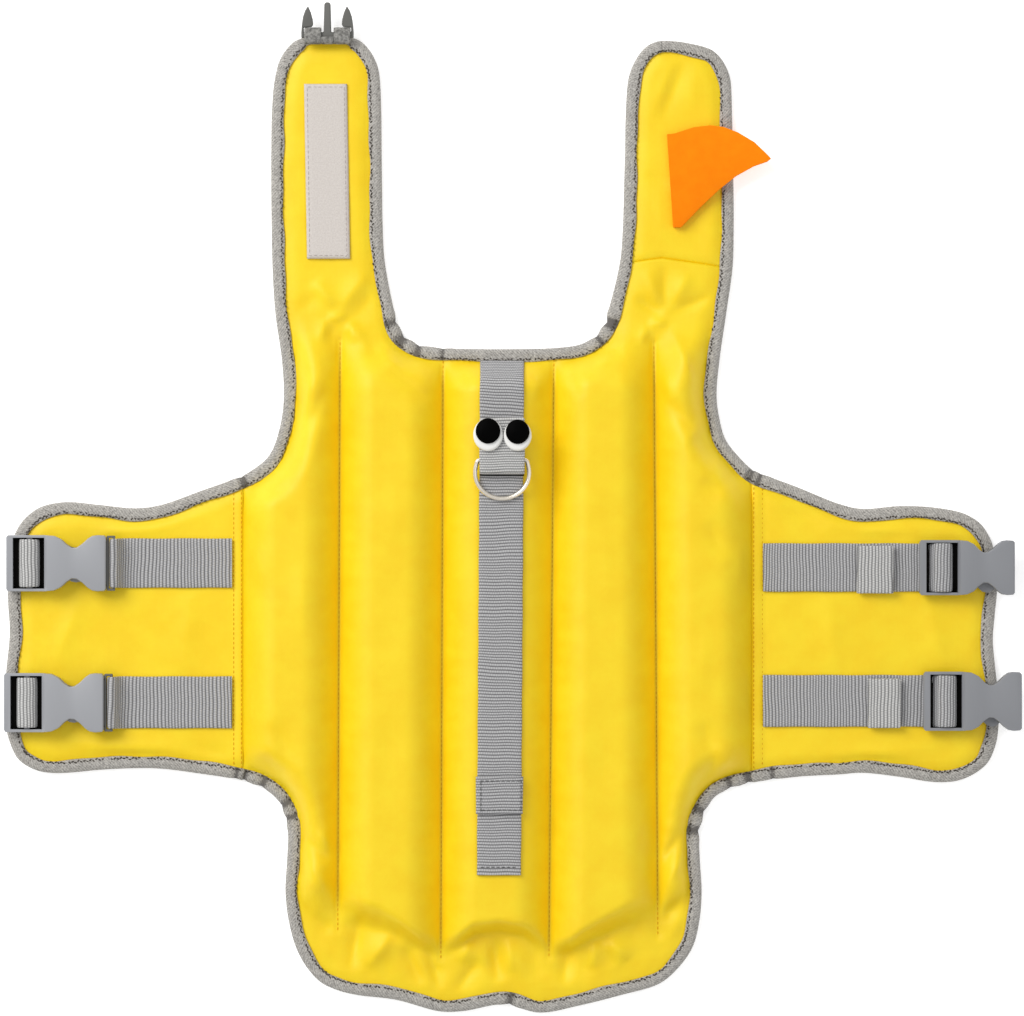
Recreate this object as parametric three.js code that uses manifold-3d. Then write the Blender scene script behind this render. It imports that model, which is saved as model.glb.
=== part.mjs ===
// A dog's life jacket laid out flat, seen from above: quilted body with two neck straps, two side
// wings, folded binding tape round the whole edge, spine webbing with eyes and a D-ring, and four
// strap buckles. Millimetres: +X to the right of the spread garment, +Y to the neck, +Z up.
import * as THREE from 'three';
import { mergeVertices } from 'three/addons/utils/BufferGeometryUtils.js';
import Module from 'manifold-3d';

const wasm = await Module();
wasm.setup();
const { Manifold, Mesh: SolidMesh } = wasm;

// Driving sizes
const GAP = 0.3; // between two pieces that are sewn together
const TAPE = 1; // binding tape
const TAPE_REACH = 6; // how far the folded tape covers the edge
const HEM = 2.2; // panel where the tape grips it
const EDGE_LOW = TAPE + GAP;
const EDGE_TOP = EDGE_LOW + HEM;
const TAPE_TOP = EDGE_TOP + GAP + TAPE;
const BODY_CROWN = 18.5; // foam channel at its thickest
const STRAP_TOP = 5;
const TAIL_TOP = 5; // flat hem below the foam
const WING_TOP = 5;
const WEBBING = 1.5;
const CHANNEL_ROUND = 18; // from a channel seam to the full height of the foam
const SPINE_SHARE = [0.337, 0.53, 0.73]; // spine webbing across the centre channel
const WIRE = 1.1; // radius of the D-ring's wire
const RING_LOOP_HALF = 11.2;
const BUCKLE_LOW = WING_TOP + GAP + WEBBING + GAP;

// Torso and neck straps: outer edge left and right at each height
const TRUNK = [
  { y: 213.5, left: -119, right: 109.5 },
  { y: 198, left: -120.3, right: 110.2 },
  { y: 120, left: -120, right: 110.5 },
  { y: 97, left: -118.5, right: 107.3 },
  { y: 74, left: -115.3, right: 104 },
  { y: 56, left: -114.3, right: 102.5 },
  { y: 44, left: -115.5, right: 104 },
  { y: 34, left: -118, right: 107 },
  { y: 25, left: -122.5, right: 114 },
];
// Neck opening: inner edge of the left and right strap at each height
const NECK = [
  { y: 213.5, left: -66, right: 58 },
  { y: 179, left: -65.2, right: 56.5 },
  { y: 123, left: -63.6, right: 54 },
  { y: 98, left: -58.8, right: 48 },
  { y: 87, left: -54.5, right: 43 },
  { y: 81.4, left: -46, right: 33 },
  { y: 79.9, left: -34.5, right: 21 },
];
// Rounded ends of the neck straps, from the left
const LEFT_TIP = [
  { x: -116.5, y: 223.5 },
  { x: -108.5, y: 233.6 },
  { x: -92, y: 236.6 },
  { x: -76, y: 233.6 },
  { x: -68.2, y: 223.5 },
];
const RIGHT_TIP = [
  { x: 61.5, y: 223.5 },
  { x: 67.5, y: 231 },
  { x: 75, y: 233.7 },
  { x: 92, y: 231.7 },
  { x: 100.4, y: 228.9 },
  { x: 105.3, y: 223.9 },
  { x: 108.2, y: 218.4 },
];
// Tail: outer edge left and right at each height, then its low edge from the left
const TAIL = [
  { y: -145, left: -118.5, right: 101.5 },
  { y: -162, left: -112.3, right: 94 },
  { y: -192, left: -113.5, right: 95 },
  { y: -220, left: -108.3, right: 90.5 },
];
const TAIL_END = [
  { x: -96, y: -237.5 },
  { x: -78, y: -244 },
  { x: -58, y: -246.5 },
  { x: -36, y: -252.3 },
  { x: -24, y: -252.1 },
  { x: -4.5, y: -248.8 },
  { x: 14, y: -252.9 },
  { x: 34, y: -249.3 },
  { x: 54, y: -244.3 },
  { x: 74, y: -238.3 },
];
// Wings: upper and lower edge from the body seam outwards, then the outer end from the top
const LEFT_WING = [
  { x: -134.5, top: 16.3, low: -136.8 },
  { x: -156, top: 8.3, low: -133.3 },
  { x: -176, top: 1.3, low: -130.8 },
  { x: -188, top: -0.3, low: -130.6 },
  { x: -206, top: 1.3, low: -131.4 },
  { x: -221, top: 2.8, low: -132.8 },
  { x: -236, top: 0.3, low: -132.2 },
];
const LEFT_END = [
  { y: -8, x: -246 },
  { y: -20, x: -251 },
  { y: -46, x: -252.4 },
  { y: -63, x: -251.5 },
  { y: -103, x: -254.2 },
  { y: -125, x: -248 },
];
const RIGHT_WING = [
  { x: 120, top: 19.5, low: -137.8 },
  { x: 144, top: 9.8, low: -134.8 },
  { x: 164, top: 1.8, low: -133.7 },
  { x: 175, top: -0.6, low: -132.9 },
  { x: 194, top: 0.8, low: -134.9 },
  { x: 209, top: 0.3, low: -137.3 },
  { x: 224, top: -2.2, low: -136.6 },
];
const RIGHT_END = [
  { y: -8, x: 234.5 },
  { y: -20, x: 241 },
  { y: -40, x: 242.9 },
  { y: -66, x: 240.8 },
  { y: -96, x: 243.6 },
  { y: -113, x: 243.3 },
  { y: -128, x: 238 },
];
// Seams between the foam channels
const CHANNEL_SEAMS = [
  { topX: -86, topY: 85, lowX: -87.2, lowY: -212 },
  { topX: -34.5, topY: 76, lowX: -35.6, lowY: -226 },
  { topX: 21, topY: 76, lowX: 18.5, lowY: -225 },
  { topX: 71, topY: 83, lowX: 73, lowY: -214 },
];
// Seam across the right neck strap, from its outer edge
const STRAP_SEAM = [
  { x: 110.5, y: 120 },
  { x: 103, y: 120.6 },
  { x: 75, y: 124.7 },
  { x: 61, y: 122.8 },
  { x: 54, y: 123 },
];
// Rows of points across the body: how close they are in each stretch
const BODY_ROWS = [
  { from: -246, to: -190, step: 5.6 },
  { from: -190, to: -156, step: 8.5 },
  { from: -156, to: 8, step: 16.4 },
  { from: 8, to: 128, step: 7.5 },
  { from: 128, to: 236, step: 13.5 },
];
// Lower end of the foam across the tail: where it starts to fall and how long it falls for
const FOAM_END = [
  { x: -115, crest: -182, drop: 22 },
  { x: -88, crest: -189, drop: 19 },
  { x: -76, crest: -194, drop: 17 },
  { x: -66, crest: -197, drop: 16 },
  { x: -57, crest: -203, drop: 13 },
  { x: -46, crest: -211, drop: 11 },
  { x: -36, crest: -215, drop: 11 },
  { x: -28, crest: -212, drop: 10 },
  { x: -19, crest: -206, drop: 9 },
  { x: -6, crest: -204.5, drop: 9 },
  { x: 6, crest: -206.5, drop: 9 },
  { x: 13, crest: -211, drop: 10 },
  { x: 19, crest: -215.5, drop: 11 },
  { x: 29, crest: -213, drop: 11 },
  { x: 36, crest: -208.5, drop: 11 },
  { x: 46, crest: -202.5, drop: 13 },
  { x: 57, crest: -196, drop: 15 },
  { x: 68, crest: -192, drop: 17 },
  { x: 90, crest: -184, drop: 20 },
  { x: 115, crest: -178, drop: 22 },
];
// Largest folds of the body: middle, direction in degrees, length, half width, height (minus is a hollow)
const FOLDS = [
  { x: -95, y: 101, turn: 62, length: 50, width: 6, rise: 1.6 },
  { x: -95, y: 101, turn: 118, length: 46, width: 6, rise: 1.4 },
  { x: -72, y: 94, turn: 80, length: 30, width: 7, rise: -1.8 },
  { x: -91, y: 89, turn: 0, length: 16, width: 7, rise: -1.8 },
  { x: -56, y: 62, turn: -42, length: 50, width: 7, rise: -2.4 },
  { x: 76, y: 94, turn: 48, length: 40, width: 6, rise: 1.5 },
  { x: 76, y: 94, turn: 128, length: 44, width: 6, rise: 1.6 },
  { x: 84, y: 64, turn: -66, length: 30, width: 6, rise: 1.6 },
  { x: 90, y: 31, turn: -51, length: 42, width: 8, rise: -2.6 },
  { x: -65.8, y: -220.8, turn: 52.7, length: 34, width: 6, rise: 2.2 },
  { x: -49.5, y: -229.3, turn: -63.4, length: 26, width: 6, rise: -1.2 },
  { x: -7.8, y: -226.3, turn: -86.4, length: 30, width: 7, rise: -1.4 },
  { x: -23, y: -222.3, turn: 71.6, length: 18, width: 6, rise: 1.4 },
  { x: 52.5, y: -220.8, turn: -49.8, length: 24, width: 7, rise: 2 },
  { x: 27.5, y: -227.8, turn: 77.7, length: 28, width: 6, rise: -1.4 },
  { x: -99, y: -168, turn: -63, length: 34, width: 8, rise: -2.6 },
  { x: 80, y: -173, turn: 58, length: 38, width: 8, rise: -2.6 },
  { x: 104, y: -130, turn: -60, length: 34, width: 9, rise: -2.4 },
];
// Strap sets on the wings: shoulder line of the buckle, middle of the strap, width and length
// against the 28 mm buckle, where the strap is sewn in, and how far the socket's floor reaches
const STRAP_SETS = [
  { name: 'left_upper', x: -233, y: -27.8, wide: 1, long: 1, sewn: -140, floor: 9.6 },
  { name: 'left_lower', x: -234.2, y: -97.4, wide: 1.05, long: 1, sewn: -140, floor: 9.6 },
  { name: 'right_upper', x: 223, y: -30, wide: 0.98, long: 0.91, sewn: 125.5, floor: 12.8 },
  { name: 'right_lower', x: 225, y: -96.7, wide: 1.05, long: 0.96, sewn: 125.5, floor: 12.2 },
];
const KEEPERS = [
  { name: 'keeper_right_upper', from: 172.2, to: 190.8, y: -31, half: 11.9 },
  { name: 'keeper_right_lower', from: 177.8, to: 194.4, y: -97.8, half: 12.3 },
];
// Socket half of a buckle in plan: half width along it, from the slotted end to the mouth
const SOCKET_PLAN = [
  { u: -19.5, half: 12.9 },
  { u: -18.6, half: 14 },
  { u: -0.5, half: 14 },
  { u: 4.5, half: 13.6 },
  { u: 8, half: 12 },
  { u: 10.8, half: 9.3 },
  { u: 13.4, half: 7.7 },
  { u: 15.8, half: 7.8 },
  { u: 18.6, half: 9.6 },
  { u: 21.4, half: 12.2 },
  { u: 23.6, half: 13.6 },
  { u: 26.4, half: 14 },
  { u: 29.6, half: 13.8 },
  { u: 30.5, half: 12.8 },
];
const SOCKET_SIDE = [
  { u: -19.5, z: 0.5 },
  { u: -19, z: 0 },
  { u: 30, z: 0 },
  { u: 30.5, z: 0.5 },
  { u: 30.5, z: 7.3 },
  { u: 29.8, z: 7.8 },
  { u: 8, z: 8 },
  { u: 1, z: 7.4 },
  { u: -0.6, z: 5.2 },
  { u: -19, z: 4.7 },
  { u: -19.5, z: 4.2 },
];
// Prong half, one side of its plan from the tip of the guide to the strap bar
const PRONG_PLAN = [
  { u: 9.2, half: 1.6 },
  { u: 22, half: 2.2 },
  { u: 22, half: 5.6 },
  { u: 14, half: 5 },
  { u: 10.6, half: 6.4 },
  { u: 12.2, half: 8.4 },
  { u: 16, half: 7.4 },
  { u: 19, half: 8.6 },
  { u: 23.4, half: 11.1 },
  { u: 30.8, half: 11.1 },
  { u: 30.8, half: 13.7 },
  { u: 34.9, half: 13.7 },
];
// Neck buckle, one side of its plan: across from its middle, up from its bar
const NECK_PRONG = [
  { w: 0.8, v: 16.4 },
  { w: 1.6, v: 15.6 },
  { w: 1.9, v: 1.5 },
  { w: 11.8, v: 1.5 },
  { w: 11.8, v: 3.9 },
  { w: 7.9, v: 4.1 },
  { w: 7.1, v: 5.2 },
  { w: 7.4, v: 8 },
  { w: 8.3, v: 11.4 },
  { w: 9.7, v: 14.6 },
  { w: 11.2, v: 12.2 },
  { w: 12.2, v: 9.2 },
  { w: 12.7, v: 6 },
  { w: 13.1, v: 1.5 },
  { w: 13.1, v: -1.5 },
];
// Orange fin: edge from the top of its sewn side round its tip
const FIN_EDGE = [
  { x: 77.5, y: 186.5 },
  { x: 81, y: 186.8 },
  { x: 91, y: 190 },
  { x: 99, y: 190.9 },
  { x: 106, y: 190 },
  { x: 113, y: 187.2 },
  { x: 121, y: 182.3 },
  { x: 127.5, y: 176 },
  { x: 129.2, y: 174 },
  { x: 127.4, y: 172.6 },
  { x: 120.5, y: 170.2 },
  { x: 112, y: 165.5 },
  { x: 103.5, y: 158.8 },
  { x: 94, y: 149.8 },
  { x: 84.5, y: 140 },
  { x: 80.6, y: 140 },
];
// Eyes: middle, size of the white and of the pupil against their profiles
const EYES = [
  { name: 'left', x: -11.9, y: 36.1, white: 1.05, pupil: 1.06 },
  { name: 'right', x: 2.8, y: 35.7, white: 0.99, pupil: 1.02 },
];

const clamp = (value, low, high) => Math.min(high, Math.max(low, value));
const mix = (a, b, share) => a + (b - a) * share;
const between = (low, high, value) => clamp((value - low) / (high - low), 0, 1);
const ease = (share) => share * share * (3 - 2 * share);
const swell = (share) => Math.sin((Math.PI / 2) * clamp(share, 0, 1)) ** 0.8;

// The edge of the garment as one closed run of knots, anticlockwise, each with the name of its stretch
function edgeKnots() {
  const side = (rows, key) => rows.map((row) => ({ x: row[key], y: row.y }));
  const wing = (rows, key) => rows.map((row) => ({ x: row.x, y: row[key] }));
  const stretches = {
    left_shoulder: [...LEFT_TIP.slice(0, 3).reverse(), ...side(TRUNK, 'left')],
    left_wing: [...wing(LEFT_WING, 'top'), ...LEFT_END, ...wing(LEFT_WING, 'low').slice(1).reverse()],
    tail: [
      { x: LEFT_WING[0].x, y: LEFT_WING[0].low },
      ...side(TAIL, 'left'),
      ...TAIL_END,
      ...side(TAIL, 'right').reverse(),
    ],
    right_wing: [
      ...wing(RIGHT_WING, 'low'),
      ...[...RIGHT_END].reverse(),
      ...wing(RIGHT_WING, 'top').slice(1).reverse(),
    ],
    right_shoulder: [
      { x: RIGHT_WING[0].x, y: RIGHT_WING[0].top },
      ...side(TRUNK, 'right').reverse(),
      ...RIGHT_TIP.slice(3).reverse(),
    ],
    neck: [
      ...RIGHT_TIP.slice(0, 3).reverse(),
      ...side(NECK, 'right'),
      ...side(NECK, 'left').reverse(),
      ...LEFT_TIP.slice(3).reverse(),
    ],
  };
  return Object.entries(stretches).flatMap(([stretch, rows]) => rows.map((row) => ({ ...row, stretch })));
}

// A smooth closed curve through the knots, with more points where it turns
function edgeStations() {
  const knots = edgeKnots();
  const curve = new THREE.CatmullRomCurve3(
    knots.map((knot) => new THREE.Vector3(knot.x, knot.y, 0)),
    true,
    'centripetal',
  );
  return knots.flatMap((knot, i) => {
    const start = curve.getTangent((i + 0.02) / knots.length);
    const end = curve.getTangent((i + 0.98) / knots.length);
    const next = knots[(i + 1) % knots.length];
    const span = Math.hypot(next.x - knot.x, next.y - knot.y);
    const steps = Math.max(1, Math.ceil(start.angleTo(end) / 0.3), Math.ceil(span / 26));
    return Array.from({ length: steps }, (_, j) => {
      const point = curve.getPoint((i + j / steps) / knots.length);
      return { x: point.x, y: point.y, stretch: knot.stretch, knot: j === 0 };
    });
  });
}

const direction = (a, b) => {
  const length = Math.hypot(b.x - a.x, b.y - a.y);
  return { x: (b.x - a.x) / length, y: (b.y - a.y) / length };
};

// For each point of a closed loop the step inwards that moves both its edges by one millimetre
function withInward(loop) {
  return loop.map((point, i) => {
    const a = direction(loop[(i + loop.length - 1) % loop.length], point);
    const b = direction(point, loop[(i + 1) % loop.length]);
    const share = 1 / (1 + a.x * b.x + a.y * b.y);
    return { ...point, inX: -(a.y + b.y) * share, inY: (a.x + b.x) * share, alongX: b.x, alongY: b.y };
  });
}

const EDGE = withInward(edgeStations());

// A closed loop moved inwards, by one distance at the bound edges and another at the sewn ones
function inset(loop, atBound, atSewn) {
  return loop.map((point, i) => {
    const before = loop[(i + loop.length - 1) % loop.length];
    const a = direction(before, point);
    const b = direction(point, loop[(i + 1) % loop.length]);
    const da = before.sewn ? atSewn : atBound;
    const db = point.sewn ? atSewn : atBound;
    const cross = a.x * b.y - a.y * b.x;
    if (Math.abs(cross) < 0.03) {
      const d = (da + db) / 2;
      const share = d / (1 + a.x * b.x + a.y * b.y);
      return { x: point.x - (a.y + b.y) * share, y: point.y + (a.x + b.x) * share };
    }
    return { x: point.x + (b.x * da - a.x * db) / cross, y: point.y + (b.y * da - a.y * db) / cross };
  });
}

// A closed loop with more points on its long sides
const dense = (loop, step) =>
  loop.flatMap((a, i) => {
    const b = loop[(i + 1) % loop.length];
    const count = Math.max(1, Math.ceil(Math.hypot(b.x - a.x, b.y - a.y) / step));
    return Array.from({ length: count }, (_, j) => ({ x: mix(a.x, b.x, j / count), y: mix(a.y, b.y, j / count) }));
  });

function segmentDistance(p, a, b) {
  const dx = b.x - a.x;
  const dy = b.y - a.y;
  const share = clamp(((p.x - a.x) * dx + (p.y - a.y) * dy) / (dx * dx + dy * dy), 0, 1);
  return Math.hypot(p.x - a.x - share * dx, p.y - a.y - share * dy);
}

const loopDistance = (p, loop) =>
  loop.reduce((least, a, i) => Math.min(least, segmentDistance(p, a, loop[(i + 1) % loop.length])), Infinity);

const edgeDistance = (p) => loopDistance(p, EDGE);

function inside(p, loop) {
  return loop.reduce((odd, a, i) => {
    const b = loop[(i + 1) % loop.length];
    const crosses = a.y > p.y !== b.y > p.y && p.x < a.x + ((b.x - a.x) * (p.y - a.y)) / (b.y - a.y);
    return crosses ? !odd : odd;
  }, false);
}

// Where the edge has its knot nearest to a point of the tables
function stationAt(x, y) {
  return EDGE.reduce(
    (best, p, i) => (p.knot && Math.hypot(p.x - x, p.y - y) < Math.hypot(EDGE[best].x - x, EDGE[best].y - y) ? i : best),
    0,
  );
}

// Stretch of the edge from one knot to another, both included, anticlockwise
function stretchOf(from, to) {
  const count = ((to - from + EDGE.length) % EDGE.length) + 1;
  return Array.from({ length: count }, (_, i) => EDGE[(from + i) % EDGE.length]);
}

// Points down a sewn line; near its ends they mark where the tape under the panel stops
function sewnLine(from, to, step) {
  const length = Math.hypot(to.x - from.x, to.y - from.y);
  const at = (s) => ({ x: mix(from.x, to.x, s / length), y: mix(from.y, to.y, s / length), sewn: true });
  const clear = (reach, backwards) => {
    const steps = Array.from({ length: 200 }, (_, i) => i * 0.1 + 1);
    const first = steps.find((s) => edgeDistance(at(backwards ? length - s : s)) >= reach);
    return backwards ? length - first : first;
  };
  const start = clear(9, false);
  const end = clear(9, true);
  const count = Math.max(1, Math.round((end - start) / step));
  const middle = Array.from({ length: count + 1 }, (_, i) => mix(start, end, i / count));
  return [clear(7, false), ...middle, clear(7, true)].map(at);
}

const sewn = (point) => ({ ...point, sewn: true });

const AT = {
  leftTop: stationAt(LEFT_WING[0].x, LEFT_WING[0].top),
  leftLow: stationAt(LEFT_WING[0].x, LEFT_WING[0].low),
  rightLow: stationAt(RIGHT_WING[0].x, RIGHT_WING[0].low),
  rightTop: stationAt(RIGHT_WING[0].x, RIGHT_WING[0].top),
  strapOuter: stationAt(STRAP_SEAM[0].x, STRAP_SEAM[0].y),
  strapInner: stationAt(STRAP_SEAM[4].x, STRAP_SEAM[4].y),
  leftTip: stationAt(LEFT_TIP[2].x, LEFT_TIP[2].y),
  rightTip: stationAt(RIGHT_TIP[2].x, RIGHT_TIP[2].y),
};

const LEFT_SEAM = sewnLine(EDGE[AT.leftTop], EDGE[AT.leftLow], 15);
const RIGHT_SEAM = sewnLine(EDGE[AT.rightLow], EDGE[AT.rightTop], 15);

// Outline of each panel; the last point of a bound stretch starts a sewn edge
function panelLoops() {
  const open = (points) => [...points.slice(0, -1), sewn(points.at(-1))];
  const across = STRAP_SEAM.slice(1, -1).map(sewn);
  return {
    body: [
      ...open(stretchOf(AT.strapInner, AT.leftTop)),
      ...LEFT_SEAM,
      ...open(stretchOf(AT.leftLow, AT.rightLow)),
      ...RIGHT_SEAM,
      ...open(stretchOf(AT.rightTop, AT.strapOuter)),
      ...across,
    ],
    left_wing: [...open(stretchOf(AT.leftTop, AT.leftLow)), ...[...LEFT_SEAM].reverse()],
    right_wing: [...open(stretchOf(AT.rightLow, AT.rightTop)), ...[...RIGHT_SEAM].reverse()],
    strap_end: [...open(stretchOf(AT.strapOuter, AT.strapInner)), ...[...across].reverse()],
  };
}

// Triangles between points in the plane, none with another point in its circle
function triangulate(points) {
  const far = 40000;
  const xs = [...points.map((p, i) => p.x + 1e-4 * Math.sin(12.9 * i)), -far, far, 0];
  const ys = [...points.map((p, i) => p.y + 1e-4 * Math.sin(78.2 * i + 1)), -far, -far, far];
  const around = (a, b, c) => {
    const bx = xs[b] - xs[a];
    const by = ys[b] - ys[a];
    const cx = xs[c] - xs[a];
    const cy = ys[c] - ys[a];
    const d = 2 * (bx * cy - by * cx);
    const ux = (cy * (bx * bx + by * by) - by * (cx * cx + cy * cy)) / d;
    const uy = (bx * (cx * cx + cy * cy) - cx * (bx * bx + by * by)) / d;
    return { corners: [a, b, c], x: xs[a] + ux, y: ys[a] + uy, reach: ux * ux + uy * uy };
  };
  const count = points.length;
  let found = [around(count, count + 1, count + 2)];
  points.forEach((_, i) => {
    const rim = new Map();
    const kept = [];
    found.forEach((t) => {
      if ((xs[i] - t.x) ** 2 + (ys[i] - t.y) ** 2 >= t.reach) {
        kept.push(t);
        return;
      }
      t.corners.forEach((a, k) => {
        const b = t.corners[(k + 1) % 3];
        const key = Math.min(a, b) * 100000 + Math.max(a, b);
        if (rim.has(key)) rim.delete(key);
        else rim.set(key, [a, b]);
      });
    });
    rim.forEach(([a, b]) => kept.push(around(a, b, i)));
    found = kept;
  });
  return found.map((t) => t.corners).filter((corners) => corners.every((c) => c < count));
}

// A closed body from its points and triangles, turned so that it faces out
function closedBody(points, triangles) {
  const volume = triangles.reduce((sum, [a, b, c]) => {
    const [p, q, r] = [points[a], points[b], points[c]];
    return (
      sum + p.x * (q.y * r.z - q.z * r.y) + p.y * (q.z * r.x - q.x * r.z) + p.z * (q.x * r.y - q.y * r.x)
    );
  }, 0);
  const faces = volume < 0 ? triangles.map(([a, b, c]) => [a, c, b]) : triangles;
  const geometry = new THREE.BufferGeometry();
  geometry.setAttribute('position', new THREE.Float32BufferAttribute(points.flatMap((p) => [p.x, p.y, p.z]), 3));
  geometry.setIndex(faces.flat());
  return geometry;
}

// One face of a panel: its triangles inside the rim, whose points come first
function faceOf(rim, rest) {
  const points = [...rim, ...rest];
  const triangles = triangulate(points).filter(([a, b, c]) =>
    inside({ x: (points[a].x + points[b].x + points[c].x) / 3, y: (points[a].y + points[b].y + points[c].y) / 3 }, rim),
  );
  const edges = new Set(triangles.flatMap(([a, b, c]) => [`${a} ${b}`, `${b} ${c}`, `${c} ${a}`]));
  rim.forEach((p, i) => {
    if (!edges.has(`${i} ${(i + 1) % rim.length}`)) {
      throw new Error(`the rim is open near ${p.x.toFixed(1)}, ${p.y.toFixed(1)}`);
    }
  });
  return { points, triangles };
}

// Adds the points that are clear of the ones kept so far
function keepClear(kept, candidates, clearance) {
  return candidates.reduce(
    (all, p) => (all.every((q) => Math.hypot(p.x - q.x, p.y - q.y) > clearance) ? [...all, p] : all),
    kept,
  );
}

// A sewn panel: top face through its rings and inner points, underside raised where the tape folds under
function panel(loop, innerPoints, topAt) {
  const rim = dense(inset(loop, TAPE + GAP, GAP / 2), 9);
  const ring = dense(inset(loop, 6.8, 2.6), 5);
  const second = inset(loop, 10.8, 7);
  const clearOf = (p) => inside(p, ring) && loopDistance(p, ring) > 2.2;
  const creases = innerPoints.filter((p) => p.crease && clearOf(p));
  const others = innerPoints.filter((p) => !p.crease && inside(p, second) && loopDistance(p, second) > 2.6);
  const withCreases = keepClear([...ring, ...creases], second, 2);
  const top = faceOf(rim, keepClear(withCreases, others, 2.2));
  const lowAt = (p) => (edgeDistance(p) < 8.7 ? EDGE_LOW : 0);
  const low = faceOf(rim, [...dense(inset(loop, 6.9, 1.4), 6), ...inset(loop, 11, 4)]);
  const above = top.points.map((p) => ({ x: p.x, y: p.y, z: topAt(p) }));
  const below = low.points.map((p) => ({ x: p.x, y: p.y, z: lowAt(p) }));
  const shift = above.length;
  const walls = rim.flatMap((_, i) => {
    const j = (i + 1) % rim.length;
    return [
      [i, shift + i, shift + j],
      [i, shift + j, j],
    ];
  });
  const under = low.triangles.map(([a, b, c]) => [shift + a, shift + c, shift + b]);
  return closedBody([...above, ...below], [...top.triangles, ...under, ...walls]);
}

const seamX = (seam, y) => mix(seam.topX, seam.lowX, (seam.topY - y) / (seam.topY - seam.lowY));

const WING_SEAMS = [
  [EDGE[AT.leftTop], EDGE[AT.leftLow]],
  [EDGE[AT.rightLow], EDGE[AT.rightTop]],
];

function seamDistance(p) {
  const channels = CHANNEL_SEAMS.map((s) => segmentDistance(p, { x: s.topX, y: s.topY }, { x: s.lowX, y: s.lowY }));
  return Math.min(...channels, ...WING_SEAMS.map(([a, b]) => segmentDistance(p, a, b)));
}

// Height that a fold adds: highest on its line, falling off to its width and its ends
function foldHeight(p, fold) {
  const turn = (fold.turn * Math.PI) / 180;
  const dx = p.x - fold.x;
  const dy = p.y - fold.y;
  const along = (dx * Math.cos(turn) + dy * Math.sin(turn)) / (fold.length / 2);
  const across = (dy * Math.cos(turn) - dx * Math.sin(turn)) / fold.width;
  return Math.abs(along) < 1 ? fold.rise * (1 - along * along) * Math.exp(-across * across) : 0;
}

// Share of the foam's height that is left at a point of the tail
function foamShare(p) {
  const k = clamp(FOAM_END.findIndex((row) => row.x > p.x), 1, FOAM_END.length - 1);
  const [a, b] = [FOAM_END[k - 1], FOAM_END[k]];
  const share = between(a.x, b.x, p.x);
  const crest = mix(a.crest, b.crest, share);
  return ease(between(crest - mix(a.drop, b.drop, share), crest, p.y));
}

// Top of the body: foam channels between seams, thin neck straps, a flat hem at the tail, and folds
function bodyTop(p) {
  const past = edgeDistance(p) - 7.2;
  if (past <= 0) return EDGE_TOP;
  const strapShare = ease(between(58, 96, p.y));
  const foam = mix(BODY_CROWN, STRAP_TOP, strapShare);
  const tail = mix(TAIL_TOP, foam, foamShare(p));
  const round = mix(15, 8, strapShare);
  const seams = swell(seamDistance(p) / CHANNEL_ROUND);
  const folds = FOLDS.reduce((sum, fold) => sum + foldHeight(p, fold), 0);
  const fade = ease(clamp(Math.min(past, seamDistance(p)) / 6, 0, 1));
  return Math.max(EDGE_TOP, EDGE_TOP + (tail - EDGE_TOP) * swell(past / round) * seams + folds * fade);
}

function flatTop(height) {
  return (p) => {
    const past = edgeDistance(p) - 7.2;
    const fromSeam = Math.min(...WING_SEAMS.map(([a, b]) => segmentDistance(p, a, b)));
    return EDGE_TOP + (height - EDGE_TOP) * swell(past / 6) * swell(fromSeam / 4);
  };
}

const spread = (from, to, step) => {
  const count = Math.max(1, Math.round((to - from) / step));
  return Array.from({ length: count + 1 }, (_, i) => mix(from, to, i / count));
};

const bodyRows = () => [...new Set(BODY_ROWS.flatMap((row) => spread(row.from, row.to, row.step)))];

// Columns follow the channel seams and crowd beside them; the outer ones step away from the last seam
function bodyPoints() {
  const shares = [0, 0.05, 0.14, 0.337, 0.53, 0.73, 0.86, 0.95];
  const steps = [0, 2.6, 7, 14, 21, 28, 36, 42];
  return bodyRows().flatMap((y) => {
    const lines = CHANNEL_SEAMS.map((seam) => seamX(seam, y));
    const sewnRow = y < 84 && y > -226;
    const between4 = lines.slice(0, -1).flatMap((x, i) =>
      shares.map((share) => ({ x: mix(x, lines[i + 1], share), y, crease: share === 0 && sewnRow })),
    );
    const left = steps.slice(1).map((step) => ({ x: lines[0] - step, y }));
    const right = steps.map((step) => ({ x: lines[3] + step, y, crease: step === 0 && sewnRow }));
    return [...left, ...between4, ...right];
  });
}

const gridPoints = (fromX, toX, fromY, toY, step) =>
  spread(fromX, toX, step).flatMap((x) => spread(fromY, toY, step).map((y) => ({ x, y })));

// A section of inward distance and height carried along stretches of the edge
function sweep(stations, section, closed) {
  const points = stations.flatMap((s) =>
    section.map(({ d, z }) => ({ x: s.x + s.inX * d, y: s.y + s.inY * d, z })),
  );
  const size = section.length;
  const spans = closed ? stations.length : stations.length - 1;
  const sides = Array.from({ length: spans }).flatMap((_, i) =>
    section.flatMap((__, j) => {
      const a = i * size + j;
      const b = i * size + ((j + 1) % size);
      const c = ((i + 1) % stations.length) * size + ((j + 1) % size);
      const d = ((i + 1) % stations.length) * size + j;
      return [
        [a, b, c],
        [a, c, d],
      ];
    }),
  );
  if (closed) return closedBody(points, sides);
  const flat = section.map(({ d, z }) => new THREE.Vector2(d, z));
  const turned = THREE.ShapeUtils.isClockWise(flat);
  const cap = THREE.ShapeUtils.triangulateShape(turned ? [...flat].reverse() : flat, []);
  const index = (k) => (turned ? size - 1 - k : k);
  const last = (stations.length - 1) * size;
  const caps = cap.flatMap((t) => {
    const [a, b, c] = t.map(index);
    return turned
      ? [
          [a, b, c],
          [last + a, last + c, last + b],
        ]
      : [
          [a, c, b],
          [last + a, last + b, last + c],
        ];
  });
  return closedBody(points, [...sides, ...caps]);
}

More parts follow.
